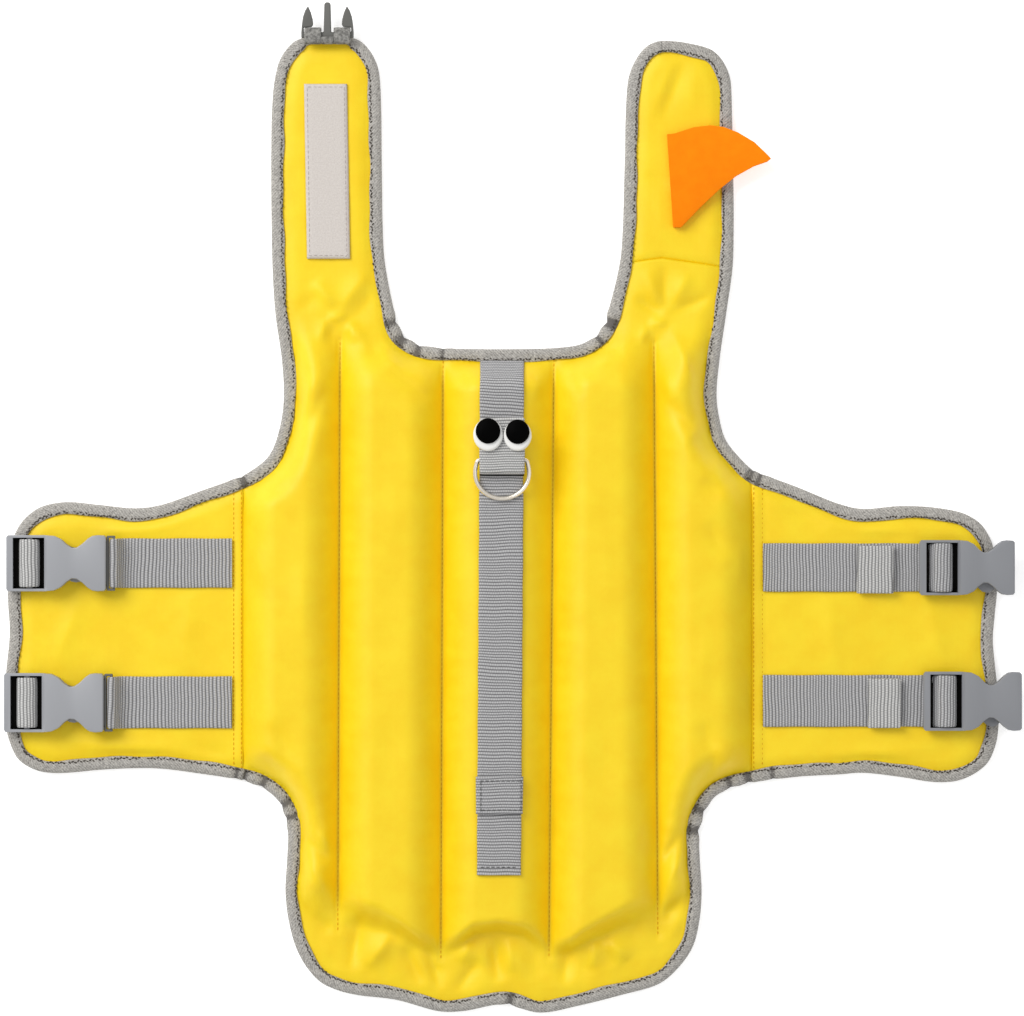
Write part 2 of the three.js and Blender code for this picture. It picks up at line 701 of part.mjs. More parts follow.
// Folded tape in section: lower flange, round fold outside the panel's edge, upper flange
const TAPE_SECTION = [
  { d: TAPE_REACH, z: 0 },
  { d: 1, z: 0 },
  { d: 0.15, z: 0.9 },
  { d: 0, z: TAPE_TOP / 2 },
  { d: 0.15, z: TAPE_TOP - 0.9 },
  { d: 1, z: TAPE_TOP },
  { d: TAPE_REACH, z: TAPE_TOP },
  { d: TAPE_REACH, z: TAPE_TOP - TAPE },
  { d: TAPE, z: TAPE_TOP - TAPE },
  { d: TAPE, z: TAPE },
  { d: TAPE_REACH, z: TAPE },
];

// One length of the binding, its ends drawn back so that it stays clear of the next one
function bindingOf(from, to) {
  const stations = stretchOf(from, to);
  const back = (s, by) => ({ ...s, x: s.x + s.alongX * by, y: s.y + s.alongY * by });
  const before = EDGE[(to + EDGE.length - 1) % EDGE.length];
  const end = { ...stations.at(-1), alongX: before.alongX, alongY: before.alongY };
  return sweep([back(stations[0], GAP / 2), ...stations.slice(1, -1), back(end, -GAP / 2)], TAPE_SECTION, false);
}

// Webbing that follows the body: a strip on three columns of the centre channel, moved out from its points
function spineStrip(fromY, toY, lift, thick, widen) {
  const rows = [fromY, ...bodyRows().filter((y) => y > fromY + 2 && y < toY - 2), toY];
  const under = rows.flatMap((y) => {
    const ends = [1, 2].map((k) => seamX(CHANNEL_SEAMS[k], y));
    const slack = 0.3 * ease(between(56, 66, y));
    return SPINE_SHARE.map((share, k) => {
      const x = mix(ends[0], ends[1], share);
      return { x: x + (k - 1) * widen, y, z: bodyTop({ x, y }) + lift + slack };
    });
  });
  const over = under.map((p) => ({ ...p, z: p.z + thick }));
  const size = under.length;
  const last = rows.length - 1;
  const quad = (a, b, c, d) => [
    [a, b, c],
    [a, c, d],
  ];
  const faces = Array.from({ length: last }).flatMap((_, i) =>
    [0, 1].flatMap((j) => {
      const a = i * 3 + j;
      return [
        ...quad(a, a + 3, a + 4, a + 1),
        ...quad(size + a, size + a + 1, size + a + 4, size + a + 3),
      ];
    }),
  );
  const long = Array.from({ length: last }).flatMap((_, i) => [
    ...quad(i * 3, size + i * 3, size + i * 3 + 3, i * 3 + 3),
    ...quad(i * 3 + 2, i * 3 + 5, size + i * 3 + 5, size + i * 3 + 2),
  ]);
  const ends = [0, 1].flatMap((j) => [
    ...quad(j, j + 1, size + j + 1, size + j),
    ...quad(last * 3 + j, size + last * 3 + j, size + last * 3 + j + 1, last * 3 + j + 1),
  ]);
  return closedBody([...under, ...over], [...faces, ...long, ...ends]);
}

function toSolid(geometry) {
  const bare = new THREE.BufferGeometry();
  bare.setAttribute('position', geometry.getAttribute('position'));
  if (geometry.index) bare.setIndex(geometry.index);
  const merged = mergeVertices(bare, 1e-4);
  return new Manifold(
    new SolidMesh({
      numProp: 3,
      vertProperties: new Float32Array(merged.getAttribute('position').array),
      triVerts: new Uint32Array(merged.index.array),
    }),
  );
}

function fromSolid(solid) {
  const mesh = solid.getMesh();
  const geometry = new THREE.BufferGeometry();
  geometry.setAttribute('position', new THREE.BufferAttribute(new Float32Array(mesh.vertProperties), 3));
  geometry.setIndex([...mesh.triVerts]);
  return geometry;
}

function shapeOf(points, holes = []) {
  const shape = new THREE.Shape(points.map(([x, y]) => new THREE.Vector2(x, y)));
  shape.holes = holes.map((hole) => new THREE.Path(hole.map(([x, y]) => new THREE.Vector2(x, y))));
  return shape;
}

const extrude = (points, depth, holes = []) =>
  new THREE.ExtrudeGeometry(shapeOf(points, holes), { depth, bevelEnabled: false });

// A section drawn in length and height, carried across by its half width
function acrossStrap(section, half, holes = []) {
  const geometry = extrude(section, half * 2, holes);
  geometry.rotateX(Math.PI / 2);
  geometry.translate(0, half, 0);
  return geometry;
}

function block(x0, x1, y0, y1, z0, z1) {
  const geometry = new THREE.BoxGeometry(x1 - x0, y1 - y0, z1 - z0);
  geometry.translate((x0 + x1) / 2, (y0 + y1) / 2, (z0 + z1) / 2);
  return toSolid(geometry);
}

const mirrored = (rows, u, half) => [
  ...rows.map((row) => [row[u], row[half]]),
  ...[...rows].reverse().map((row) => [row[u], -row[half]]),
];

// Socket half: plan and side view cut from each other, slotted end with its bar, mouth open to the waist,
// and a floor that reaches past the waist on its lower side
function socketHalf(reach) {
  const bevel = 0.8;
  const plan = new THREE.ExtrudeGeometry(shapeOf(mirrored(SOCKET_PLAN, 'u', 'half')), {
    depth: 8 - bevel * 2,
    bevelEnabled: true,
    bevelThickness: bevel,
    bevelSize: bevel,
    bevelOffset: -bevel,
    bevelSegments: 2,
  });
  plan.translate(0, 0, bevel);
  const side = acrossStrap(SOCKET_SIDE.map(({ u, z }) => [u, z]), 20);
  const outside = toSolid(plan).intersect(toSolid(side));
  const slotted = outside.subtract(block(-16.2, -0.4, -12.7, 12.7, -1, 9)).add(block(-9.4, -6.6, -13.4, 13.4, 1.2, 3.8));
  const open = slotted.subtract(block(7.4, 32, -11.5, 11.5, 1.8, 6.2));
  const rim = spread(0, Math.PI, Math.PI / 8).map((turn) => [
    15.4 - 6.4 * Math.cos(turn),
    -4 - (reach - 4) * Math.sin(turn),
  ]);
  return fromSolid(open.add(toSolid(extrude(rim, 1.8))));
}

// Prong half: flat plate with guide and prongs inside the socket, strap bar outside its mouth
function prongHalf() {
  const geometry = extrude(mirrored(PRONG_PLAN, 'u', 'half'), 3.2);
  geometry.translate(0, 0, 2.4);
  return fromSolid(toSolid(geometry).subtract(block(31.8, 33.7, -12.6, 12.6, 0, 8)));
}

// Webbing turned over the bar of a slotted end, as a hump with the bar in its hole
const HUMP = [
  [-3.4, 3.6],
  [-4.2, 5.7],
  [-6, 6.8],
  [-10, 6.8],
  [-11.8, 5.7],
  [-12.6, 3.6],
];
const HUMP_HOLE = [
  [-5, 0.3],
  [-5, 4],
  [-6.2, 5.2],
  [-9.8, 5.2],
  [-11, 4],
  [-11, 0.3],
];

const rolled = () => acrossStrap([[-12.6, -1.8], [-3.4, -1.8], ...HUMP], 12.3, [HUMP_HOLE]);

const adjusterStrap = (sewnAt) =>
  acrossStrap([[sewnAt, -1.8], [-3.4, -1.8], ...HUMP, [-12.6, -0.3], [sewnAt, -0.3]], 12.3, [HUMP_HOLE]);

// Webbing from the wing up through the prong half's slot and back over its bar
function fastenedStrap(sewnAt) {
  const outer = [
    [33, 0.2],
    [35.5, -1.8],
    [sewnAt, -1.8],
    [sewnAt, -0.3],
    [41, -0.3],
    [38, 2.2],
    [36.6, 6.2],
    [35.6, 7.1],
    [33.2, 7.1],
    [32.1, 6.2],
    [32.1, 1.2],
  ];
  const hole = [
    [33.4, 2],
    [35.2, 2],
    [35.2, 5.9],
    [33.4, 5.9],
  ];
  return acrossStrap(outer, 12.3, [hole]);
}

// Puts a piece of a strap set on its wing, widened and shortened as its row says
function onWing(geometry, set) {
  const position = geometry.getAttribute('position');
  Array.from({ length: position.count }).forEach((_, i) => {
    const u = position.getX(i);
    position.setXYZ(
      i,
      set.x + (u > 0 ? u * set.long : u),
      set.y + position.getY(i) * set.wide,
      BUCKLE_LOW + position.getZ(i),
    );
  });
  return geometry;
}

// Local length that comes out at a place on the wing
const localAt = (set, x) => (x > set.x ? (x - set.x) / set.long : x - set.x);

function keeperOf(row) {
  const low = BUCKLE_LOW;
  const section = [
    [row.from, low],
    [row.to - 0.8, low],
    [row.to, low + 0.9],
    [row.to, low + 1.6],
    [row.to - 0.8, low + 2.4],
    [row.from + 3, low + 2.1],
    [row.from, low + 1.4],
  ];
  const geometry = acrossStrap(section, row.half);
  geometry.translate(0, row.y, 0);
  return geometry;
}

const SPINE_Z = BODY_CROWN + GAP + WEBBING;
const RING_Y = 23.6;
const LOOP_LOW = SPINE_Z + GAP;
const RING_Z = LOOP_LOW + 1.2 + 1.5;
const LOOP_TOP = RING_Z + 1.5 + 1.2;
const RING_X = -4.9;

// Webbing folded round the ring's bar and back under the eyes
function ringLoop() {
  const low = LOOP_LOW;
  const top = LOOP_TOP;
  const outer = [
    [17, low + 1.6],
    [18.4, low],
    [43.4, low],
    [44, low + 0.8],
    [44, top - 0.8],
    [43.4, top],
    [19.4, top],
    [17.6, top - 1],
    [17, top - 2.4],
  ];
  const hole = [0, 1, 2, 3, 4, 5, 6, 7].map((k) => [
    RING_Y + 1.55 * Math.cos((k * Math.PI) / 4 + 0.39),
    RING_Z + 1.5 * Math.sin((k * Math.PI) / 4 + 0.39),
  ]);
  const geometry = extrude(outer, RING_LOOP_HALF * 2, [hole]);
  geometry.rotateX(Math.PI / 2);
  geometry.rotateZ(Math.PI / 2);
  geometry.translate(RING_X - RING_LOOP_HALF, 0, 0);
  return geometry;
}

// D-ring: straight bar, tight corners and a round bow, in round wire, lying down on the webbing
function ringWire() {
  const corner = 1.5;
  const half = 13.5;
  const arm = 12.65;
  const depth = 19.2;
  const bow = Array.from({ length: 19 }, (_, i) => {
    const turn = Math.PI + (i * Math.PI) / 18;
    return { x: half * Math.cos(turn), y: -6.5 + (depth - 6.5) * Math.sin(turn) };
  });
  const corners = [0, 1, 2, 3].map((i) => {
    const turn = (i * Math.PI) / 6;
    return { x: arm - corner + corner * Math.cos(turn), y: -corner + corner * Math.sin(turn) };
  });
  const right = [{ x: half - 0.2, y: -4 }, ...corners];
  const loop = [...bow, ...right, ...[...right].reverse().map((p) => ({ x: -p.x, y: p.y }))];
  const section = Array.from({ length: 8 }, (_, k) => ({
    d: WIRE * Math.cos((k * Math.PI) / 4),
    z: WIRE * Math.sin((k * Math.PI) / 4),
  }));
  const geometry = sweep(withInward(loop), section, true);
  geometry.rotateX(0.078);
  geometry.translate(RING_X, RING_Y, RING_Z);
  return geometry;
}

// Domed eye and its pupil: turned profiles, closed on the axis, the white a little taller than wide
function dome(profile, size, x, y, z, tall) {
  const geometry = new THREE.LatheGeometry(profile.map(([r, h]) => new THREE.Vector2(r, h)), 20);
  geometry.rotateX(Math.PI / 2);
  geometry.scale(size, size * tall, 1);
  geometry.translate(x, y, z);
  return geometry;
}
const WHITE = [
  [0, 0],
  [6.5, 0],
  [7.05, 0.9],
  [6.6, 1.9],
  [6, 2.3],
  [0, 2.3],
];
const PUPIL = [
  [0, 0],
  [5.4, 0],
  [5.75, 0.5],
  [4.6, 1.6],
  [2.6, 2.3],
  [0, 2.6],
];

// Fin: flat foam cut to its edge, sewn down at its left and lifting towards its tip
function finPiece() {
  const geometry = extrude(FIN_EDGE.map(({ x, y }) => [x, y]), 3.2);
  const position = geometry.getAttribute('position');
  Array.from({ length: position.count }).forEach((_, i) => {
    const share = between(84, 129, position.getX(i));
    position.setZ(i, position.getZ(i) + STRAP_TOP + GAP + 5 * share * (0.4 + 0.6 * share));
  });
  return geometry;
}

function loopPatch() {
  const geometry = extrude(
    [
      [-104, 211.8],
      [-102.5, 124.4],
      [-81, 124.4],
      [-82.5, 211.8],
    ],
    1.6,
  );
  geometry.translate(0, 0, STRAP_TOP + GAP);
  return geometry;
}

const TAB = { x: -92.2, half: 11.5, low: 232, high: 239.4, z: TAPE_TOP + GAP };
const BAR_Y = 236;

// Webbing tab of the neck buckle: a flattened loop over the binding, notched for the guide
function neckTab() {
  const { low, high, z } = TAB;
  const outer = [
    [low, z],
    [high - 1, z],
    [high, z + 1],
    [high, z + 4.6],
    [high - 1, z + 5.6],
    [low + 2, z + 5.6],
    [low, z + 4],
  ];
  const hole = [
    [BAR_Y - 1.9, z + 1.1],
    [BAR_Y + 2.2, z + 1.1],
    [BAR_Y + 2.2, z + 4.5],
    [BAR_Y - 1.9, z + 4.5],
  ];
  const geometry = extrude(outer, TAB.half * 2, [hole]);
  geometry.rotateX(Math.PI / 2);
  geometry.rotateZ(Math.PI / 2);
  geometry.translate(TAB.x - TAB.half, 0, 0);
  return fromSolid(toSolid(geometry).subtract(block(TAB.x - 3, TAB.x + 3, BAR_Y - 0.6, 242, z - 1, z + 9)));
}

function neckProngs() {
  const half = NECK_PRONG.map(({ w, v }) => [w, v]);
  const other = [...NECK_PRONG].reverse().map(({ w, v }) => [-w, v]);
  const geometry = extrude([...half, ...other], 2.8);
  geometry.translate(TAB.x, BAR_Y, TAB.z + 1.4);
  return geometry;
}

const COLOURS = {
  cloth: 0xffe11c,
  tape: 0xa8a49f,
  webbing: 0x9a9a9a,
  plastic: 0x9a9ca2,
  metal: 0xd8d4cc,
  white: 0xf4f4f2,
  black: 0x101010,
  foam: 0xff8a00,
  loop: 0xe0d6d2,
};

const group = new THREE.Group();
group.name = 'dog_life_jacket';

function place(name, geometry, colour) {
  const shiny = colour === 'metal';
  const material = new THREE.MeshStandardMaterial({
    color: COLOURS[colour],
    roughness: shiny ? 0.3 : 0.85,
    metalness: shiny ? 1 : 0,
    flatShading: true,
  });
  const mesh = new THREE.Mesh(geometry, material);
  mesh.name = name;
  group.add(mesh);
}

const loops = panelLoops();
place('body_panel', panel(loops.body, bodyPoints(), bodyTop), 'cloth');
place('left_wing', panel(loops.left_wing, gridPoints(-244, -140, -126, 6, 17), flatTop(WING_TOP)), 'cloth');
place('right_wing', panel(loops.right_wing, gridPoints(126, 236, -128, 8, 17), flatTop(WING_TOP)), 'cloth');
place('right_strap_end', panel(loops.strap_end, gridPoints(66, 98, 134, 218, 16), flatTop(STRAP_TOP)), 'cloth');

place('binding_left_shoulder', bindingOf(AT.leftTip, AT.leftTop), 'tape');
place('binding_left_wing', bindingOf(AT.leftTop, AT.leftLow), 'tape');
place('binding_tail', bindingOf(AT.leftLow, AT.rightLow), 'tape');
place('binding_right_wing', bindingOf(AT.rightLow, AT.rightTop), 'tape');
place('binding_right_shoulder', bindingOf(AT.rightTop, AT.rightTip), 'tape');
place('binding_neck', bindingOf(AT.rightTip, AT.leftTip), 'tape');

place('spine_webbing', spineStrip(-183, 73, GAP, WEBBING, 0), 'webbing');
place('spine_end_patch', spineStrip(-152.4, -133.8, GAP * 2 + WEBBING, WEBBING, 0.6), 'webbing');
place('ring_loop', ringLoop(), 'webbing');
place('d_ring', ringWire(), 'metal');
EYES.forEach(({ name, x, y, white, pupil }) => {
  place(`eye_${name}`, dome(WHITE, white, x, y, LOOP_TOP + GAP, 1.1), 'white');
  place(`pupil_${name}`, dome(PUPIL, pupil, x, y + 1.9, LOOP_TOP + GAP * 2 + 2.3, 1.03), 'black');
});

place('fin', finPiece(), 'foam');
place('loop_patch', loopPatch(), 'loop');
place('neck_tab', neckTab(), 'webbing');
place('neck_prongs', neckProngs(), 'plastic');

STRAP_SETS.forEach((set) => {
  place(`socket_${set.name}`, onWing(socketHalf(set.floor), set), 'plastic');
  const sewnAt = localAt(set, set.sewn);
  if (set.name.startsWith('left')) {
    place(`prongs_${set.name}`, onWing(prongHalf(), set), 'plastic');
    place(`strap_${set.name}`, onWing(fastenedStrap(sewnAt), set), 'webbing');
    place(`roll_${set.name}`, onWing(rolled(), set), 'webbing');
    return;
  }
  place(`strap_${set.name}`, onWing(adjusterStrap(sewnAt), set), 'webbing');
});
KEEPERS.forEach((row) => place(row.name, keeperOf(row), 'webbing'));

// The origin lies under the middle of the whole object
const middle = new THREE.Box3().setFromObject(group).getCenter(new THREE.Vector3());
group.children.forEach((mesh) => mesh.geometry.translate(-middle.x, -middle.y, 0));

export default group;
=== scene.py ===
"""A dog's life jacket laid out flat on a pale table, seen from straight above.

Lengths are in millimetres on the jacket's own pattern until a mesh is made; place() turns them into metres
of the row frame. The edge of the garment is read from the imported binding, and every surface follows it.
"""

import math

import bmesh
import bpy
import numpy as np
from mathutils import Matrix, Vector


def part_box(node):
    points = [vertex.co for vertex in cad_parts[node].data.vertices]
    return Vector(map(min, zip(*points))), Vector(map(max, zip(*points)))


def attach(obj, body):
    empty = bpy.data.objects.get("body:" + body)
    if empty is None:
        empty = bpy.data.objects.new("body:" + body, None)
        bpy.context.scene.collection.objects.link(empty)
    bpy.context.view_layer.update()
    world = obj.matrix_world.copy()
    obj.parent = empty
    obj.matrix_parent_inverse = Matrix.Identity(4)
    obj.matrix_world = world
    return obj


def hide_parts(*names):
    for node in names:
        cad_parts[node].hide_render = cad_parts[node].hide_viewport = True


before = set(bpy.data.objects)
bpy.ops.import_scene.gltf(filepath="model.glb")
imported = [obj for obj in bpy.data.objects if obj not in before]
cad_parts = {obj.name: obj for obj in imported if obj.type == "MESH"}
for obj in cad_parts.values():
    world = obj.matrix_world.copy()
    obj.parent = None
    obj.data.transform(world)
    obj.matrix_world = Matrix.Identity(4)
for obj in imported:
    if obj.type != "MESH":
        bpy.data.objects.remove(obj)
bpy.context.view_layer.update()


def table(columns, rows):
    """Rows of values under named columns."""
    return [dict(zip(columns.split(), row)) for row in rows]


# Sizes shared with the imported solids
TAPE_TOP = 4.8
HEM_TOP = 3.5
EDGE_LOW = 1.3
CROWN = 18.5
STRAP_TOP = 5.0
TAIL_TOP = 5.0
WING_TOP = 5.0
WEB = 1.5
GAP = 0.3
ACROSS = (1, 0, 0)
ALONG = (0, 1, 0)
CELL = 1.5
TAPE_IN = 6.6
LEFT_SEAM_X = -134.5
RIGHT_SEAM_X = 120.0
STRAP_ROW = 122.0
BUCKLE_LOW = 7.1
RING_X = -4.9
TAB_X = -92.2

# Seams between the foam channels
SEAMS = table("top_x top_y low_x low_y", [
    (-86.0, 85.0, -87.2, -212.0),
    (-34.5, 76.0, -35.6, -226.0),
    (21.0, 76.0, 18.5, -225.0),
    (71.0, 83.0, 73.0, -214.0),
])
# Seam across the right neck strap
STRAP_SEAM = table("x y", [
    (54.0, 123.0),
    (61.0, 122.8),
    (75.0, 124.7),
    (103.0, 120.6),
    (110.5, 120.0),
])
# Lower end of the foam across the tail: where it starts to fall and how long it falls for
FOAM_END = table("x crest drop", [
    (-115, -182, 22),
    (-88, -189, 19),
    (-76, -194, 17),
    (-66, -197, 16),
    (-57, -203, 13),
    (-46, -211, 11),
    (-36, -215, 11),
    (-28, -212, 10),
    (-19, -206, 9),
    (-6, -204.5, 9),
    (6, -206.5, 9),
    (13, -211, 10),
    (19, -215.5, 11),
    (29, -213, 11),
    (36, -208.5, 11),
    (46, -202.5, 13),
    (57, -196, 15),
    (68, -192, 17),
    (90, -184, 20),
    (115, -178, 22),
])
# Folds: the two ends of the crease, half width, height (minus is a hollow)
BODY_FOLDS = table("x0 y0 x1 y1 wide rise", [
    (-87, 97.25, -72.5, 117.75, 4.6, 1.7),
    (-88, 99.75, -100, 113.75, 4, 1.6),
    (-83, 90.75, -67, 109.75, 6, -1.1),
    (-109, 96.75, -94, 108.75, 4.6, -0.9),
    (-96, 82.75, -93, 94.75, 2.6, 1.4),
    (-93, 95.25, -82, 95.25, 2.4, 1.6),
    (-81, 94.75, -79, 81.25, 2.6, 1.3),
    (-89.5, 93.75, -89, 76.75, 3.6, -1.2),
    (-76, 87.75, -62, 69.75, 5.5, -2.2),
    (-64, 72.75, -41, 52.75, 4.5, -2.4),
    (-81, 92.75, -70, 77.75, 3, 1.4),
    (-67, 79.75, -50, 61.75, 3.4, 1.6),
    (76, 122.75, 77, 97.75, 3.4, -1.4),
    (61, 105.25, 76, 96.25, 2.8, -1.6),
    (78, 96.75, 102, 106.75, 3, -1.7),
    (67, 119.75, 74, 99.75, 4, 1.3),
    (80, 100.75, 89, 117.75, 4, 1.4),
    (64, 80.75, 68, 91.75, 2.6, 1.3),
    (68, 92.25, 78, 91.75, 2.4, 1.5),
    (78.5, 90.75, 94, 57.75, 3.6, 1.9),
    (86, 77.75, 98, 55.75, 3, -1.7),
    (78, 53.75, 91, 36.75, 4.2, -2.6),
    (91, 36.75, 105, 23.75, 4, -2),
    (76, 67.75, 80, 51.75, 3.4, 1.4),
    (-106, 43.75, -97, 67.75, 4, 1.2),
    (-103, 35.75, -91, 63.75, 4, -1.3),
    (44, 75.75, 55, 80.75, 3, -1.2),
    (39, 67.75, 53, 77.75, 3, 1.1),
    (-28, 69.75, -21, 57.75, 3, -0.9),
    (28, 69.75, 34, 53.75, 3.2, -1),
    (14, 67.75, 11, 51.75, 3, 0.9),
    (-103, -163.25, -90.5, -178.25, 3, -2),
    (-97, -161.25, -88, -171.25, 2.6, 1.4),
    (-103.5, -186.25, -90.5, -200.25, 4.16, -0.9),
    (-100.5, -204.25, -88.5, -213.25, 3.9, -0.84),
    (-104.5, -175.25, -92, -189.25, 3.2, 1.3),
    (-102, -197.25, -90, -207.25, 3.9, 0.72),
    (-75, -200.25, -81, -232.25, 4.14, -3),
    (-58.5, -211.25, -73, -230.25, 4.6, 3.25),
    (-58, -212.25, -50, -222.25, 4.16, 0.84),
    (-55, -218.25, -44, -240.25, 3.22, -2.12),
    (-42, -218.25, -35.5, -242.25, 3.22, -2),
    (-49, -220.25, -40, -241.25, 3.64, 0.78),
    (-70, -220.25, -60, -235.25, 3.9, -0.66),
    (-15.5, -225.25, -28, -242.25, 3.68, -2.25),
    (-8.5, -214.25, -7, -238.25, 4.14, -2.88),
    (-21, -216.25, -25, -228.25, 4.14, 2),
    (-14, -213.25, -12.5, -230.25, 3.64, 0.9),
    (-2, -214.25, 0, -233.25, 3.68, 2),
    (8, -216.25, 14, -236.25, 4.16, -0.84),
    (3, -218.25, 6, -236.25, 3.64, 0.72),
    (30, -216.25, 25, -239.25, 4.14, -2.75),
    (38, -219.25, 34, -238.25, 3.9, -0.84),
    (47, -214.25, 58, -227.25, 4.83, 2.75),
    (47, -220.25, 51, -230.25, 3.38, -0.78),
    (42, -215.25, 40, -231.25, 3.45, 2.12),
    (64, -202.25, 59, -218.25, 4.16, -0.72),
    (86, -159.25, 72, -182.75, 3.4, -2.6),
    (89, -169.25, 76, -190.25, 3, 1.7),
    (87, -192.25, 73.5, -208.25, 3.45, -2.25),
    (89, -201.25, 78, -216.25, 4.16, 0.72),
    (-125, -122.25, -114, -141.25, 4.6, -2.2),
    (-114, -131.25, -106, -152.25, 3.6, 1.3),
    (-121, -106.25, -106, -131.25, 5, -1.4),
    (-125, 3.75, -106, 13.75, 4, -1),
    (-128, -16.25, -125, -41.25, 4, 0.9),
    (102, -121.25, 94, -144.25, 5, -2.4),
    (112, -122.25, 100, -133.25, 3.6, 1.3),
    (94, -106.25, 102, -126.25, 4.6, -1.2),
    (106, 5.75, 94, 14.75, 4, -1.1),
    (115, -16.25, 113, -41.25, 4, 0.9),
    (97, -6.25, 107, -26.25, 5, -1.2),
    (-106, -26.25, -103, -66.25, 5, 0.8),
    (-60, 18.75, -58, -26.25, 8, 0.5),
    (46, -6.25, 48, -56.25, 8, 0.5),
    (-60, -96.25, -62, -141.25, 8, -0.4),
    (47, -106.25, 46, -146.25, 8, -0.4),
    (97, -56.25, 94, -96.25, 6, 0.7),
])
WING_FOLDS = table("x0 y0 x1 y1 wide rise", [
    (-209.3, -14.2, -150.7, -1.8, 5, 0.9),
    (-164.4, -82.9, -159.6, -37.1, 7, 0.7),
    (-229.2, -81.7, -214.8, -42.3, 6, 0.8),
    (-230.8, -116.3, -161.2, -123.7, 4, 0.8),
    (-164.6, -118.4, -135.4, -125.6, 4, -0.7),
    (162.4, -84.9, 157.6, -39.1, 7, 0.7),
    (216.8, -83.4, 207.2, -44.6, 6, 0.8),
    (148.4, -4.1, 203.6, -13.9, 4, 0.8),
    (153.1, -125.1, 222.9, -118.9, 4, 0.8),
    (132.3, 2.1, 159.7, -10.1, 4, -0.7),
])
STRAP_FOLDS = table("x0 y0 x1 y1 wide rise", [
    (74, 192, 87.5, 226, 4.2, -1.3),
    (69.5, 193, 81.5, 226, 3.6, 0.9),
    (92, 224, 89, 197, 5, 0.6),
    (66, 167, 81, 161, 3, -0.7),
    (72.5, 162, 76, 131, 4, 0.7),
    (90, 150, 94, 126, 6, -0.5),
])
# Strap sets on the wings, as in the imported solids
STRAP_SETS = table("name x y wide long sewn", [
    ("left_upper", -233.0, -27.8, 1.0, 1.0, -140.0),
    ("left_lower", -234.2, -97.4, 1.05, 1.0, -140.0),
    ("right_upper", 223.0, -30.0, 0.98, 0.91, 125.5),
    ("right_lower", 225.0, -96.7, 1.05, 0.96, 125.5),
])
# Rows of stitches beside the wing seams: place, low and high end
WING_STITCHES = [
    (-139.2, -129, 9),
    (-135.3, -131, 11),
    (120.9, -131, 14),
    (125.2, -129, 12),
]
KEEPERS = table("name start end y half", [
    ("keeper_right_upper", 172.2, 190.8, -31.0, 11.9),
    ("keeper_right_lower", 177.8, 194.4, -97.8, 12.3),
])
BINDINGS = [
    "binding_left_shoulder",
    "binding_left_wing",
    "binding_tail",
    "binding_right_wing",
    "binding_right_shoulder",
    "binding_neck",
]

low_corner, high_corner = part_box("loop_patch")
PATCH_X = -92.5
PATCH_Y = 168.1
SHIFT = np.array([
    (low_corner.x + high_corner.x) * 500 - PATCH_X,
    (low_corner.y + high_corner.y) * 500 - PATCH_Y,
    0.0,
])


def place(points):
    """Pattern millimetres to metres of the row frame: add the shift of the origin, divide by a thousand."""
    return (np.asarray(points, float) + SHIFT) / 1000


def srgb(code):
    """A six-digit colour as linear values: each channel over 255, through the sRGB curve."""
    channels = [int(code[i : i + 2], 16) / 255 for i in (0, 2, 4)]
    return [c / 12.92 if c <= 0.04045 else ((c + 0.055) / 1.055) ** 2.4 for c in channels] + [1.0]


def set_node(tree, node, **values):
    """Settings and links of one node. A value that names an input sets it, or is linked to it if it is a
    socket. inputs fills the inputs in their order, stops gives a ramp its places and colours, others are
    the node's own."""
    fill = []
    for key, value in values.items():
        socket = node.inputs.get(key.replace("_", " "))
        if key == "inputs":
            fill += zip(node.inputs, value)
        elif key == "stops":
            for stop, (share, code) in zip(node.color_ramp.elements, value):
                stop.position = share
                stop.color = srgb(code)
        elif socket is None:
            setattr(node, key, value)
        else:
            fill.append((socket, value))
    for socket, value in fill:
        if isinstance(value, bpy.types.NodeSocket):
            tree.links.new(value, socket)
        else:
            socket.default_value = value
    return node


def add_node(tree, kind, **values):
    """One new shader node with its settings and links."""
    return set_node(tree, tree.nodes.new(kind), **values)


def base_material(name, roughness, **values):
    """An empty principled material, with its tree, shader and object coordinates."""
    material = bpy.data.materials.new(name)
    material.use_nodes = True
    tree = material.node_tree
    shader = set_node(tree, tree.nodes["Principled BSDF"], Roughness=roughness, **values)
    return material, tree, shader, add_node(tree, "ShaderNodeTexCoord").outputs["Object"]


def per_metre(size):
    """A noise's scale from the size of its spots in millimetres."""
    return 1000 / size


def bands(size):
    """A wave's scale from the width of one band in millimetres: its phase is 20 times the scale."""
    return 2 * math.pi * 1000 / 20 / size


def mottled(tree, where, dark, light, size, detail):
    """A colour that wanders between two shades with a soft noise of the given size."""
    spots = dict(Scale=per_metre(size), Detail=detail, Roughness=0.6)
    noise = add_node(tree, "ShaderNodeTexNoise", Vector=where, **spots)
    stops = ((0.35, dark), (0.65, light))
    return add_node(tree, "ShaderNodeValToRGB", Fac=noise.outputs["Fac"], stops=stops).outputs["Color"]


def grain(tree, where, size, strength, depth):
    """The surface's normal under a fine noise: size and depth in millimetres."""
    spots = dict(Scale=per_metre(size), Detail=6.0, Roughness=0.65)
    noise = add_node(tree, "ShaderNodeTexNoise", Vector=where, **spots)
    height = noise.outputs["Fac"]
    bump = add_node(tree, "ShaderNodeBump", Height=height, Strength=strength, Distance=depth / 1000)
    return bump.outputs["Normal"]


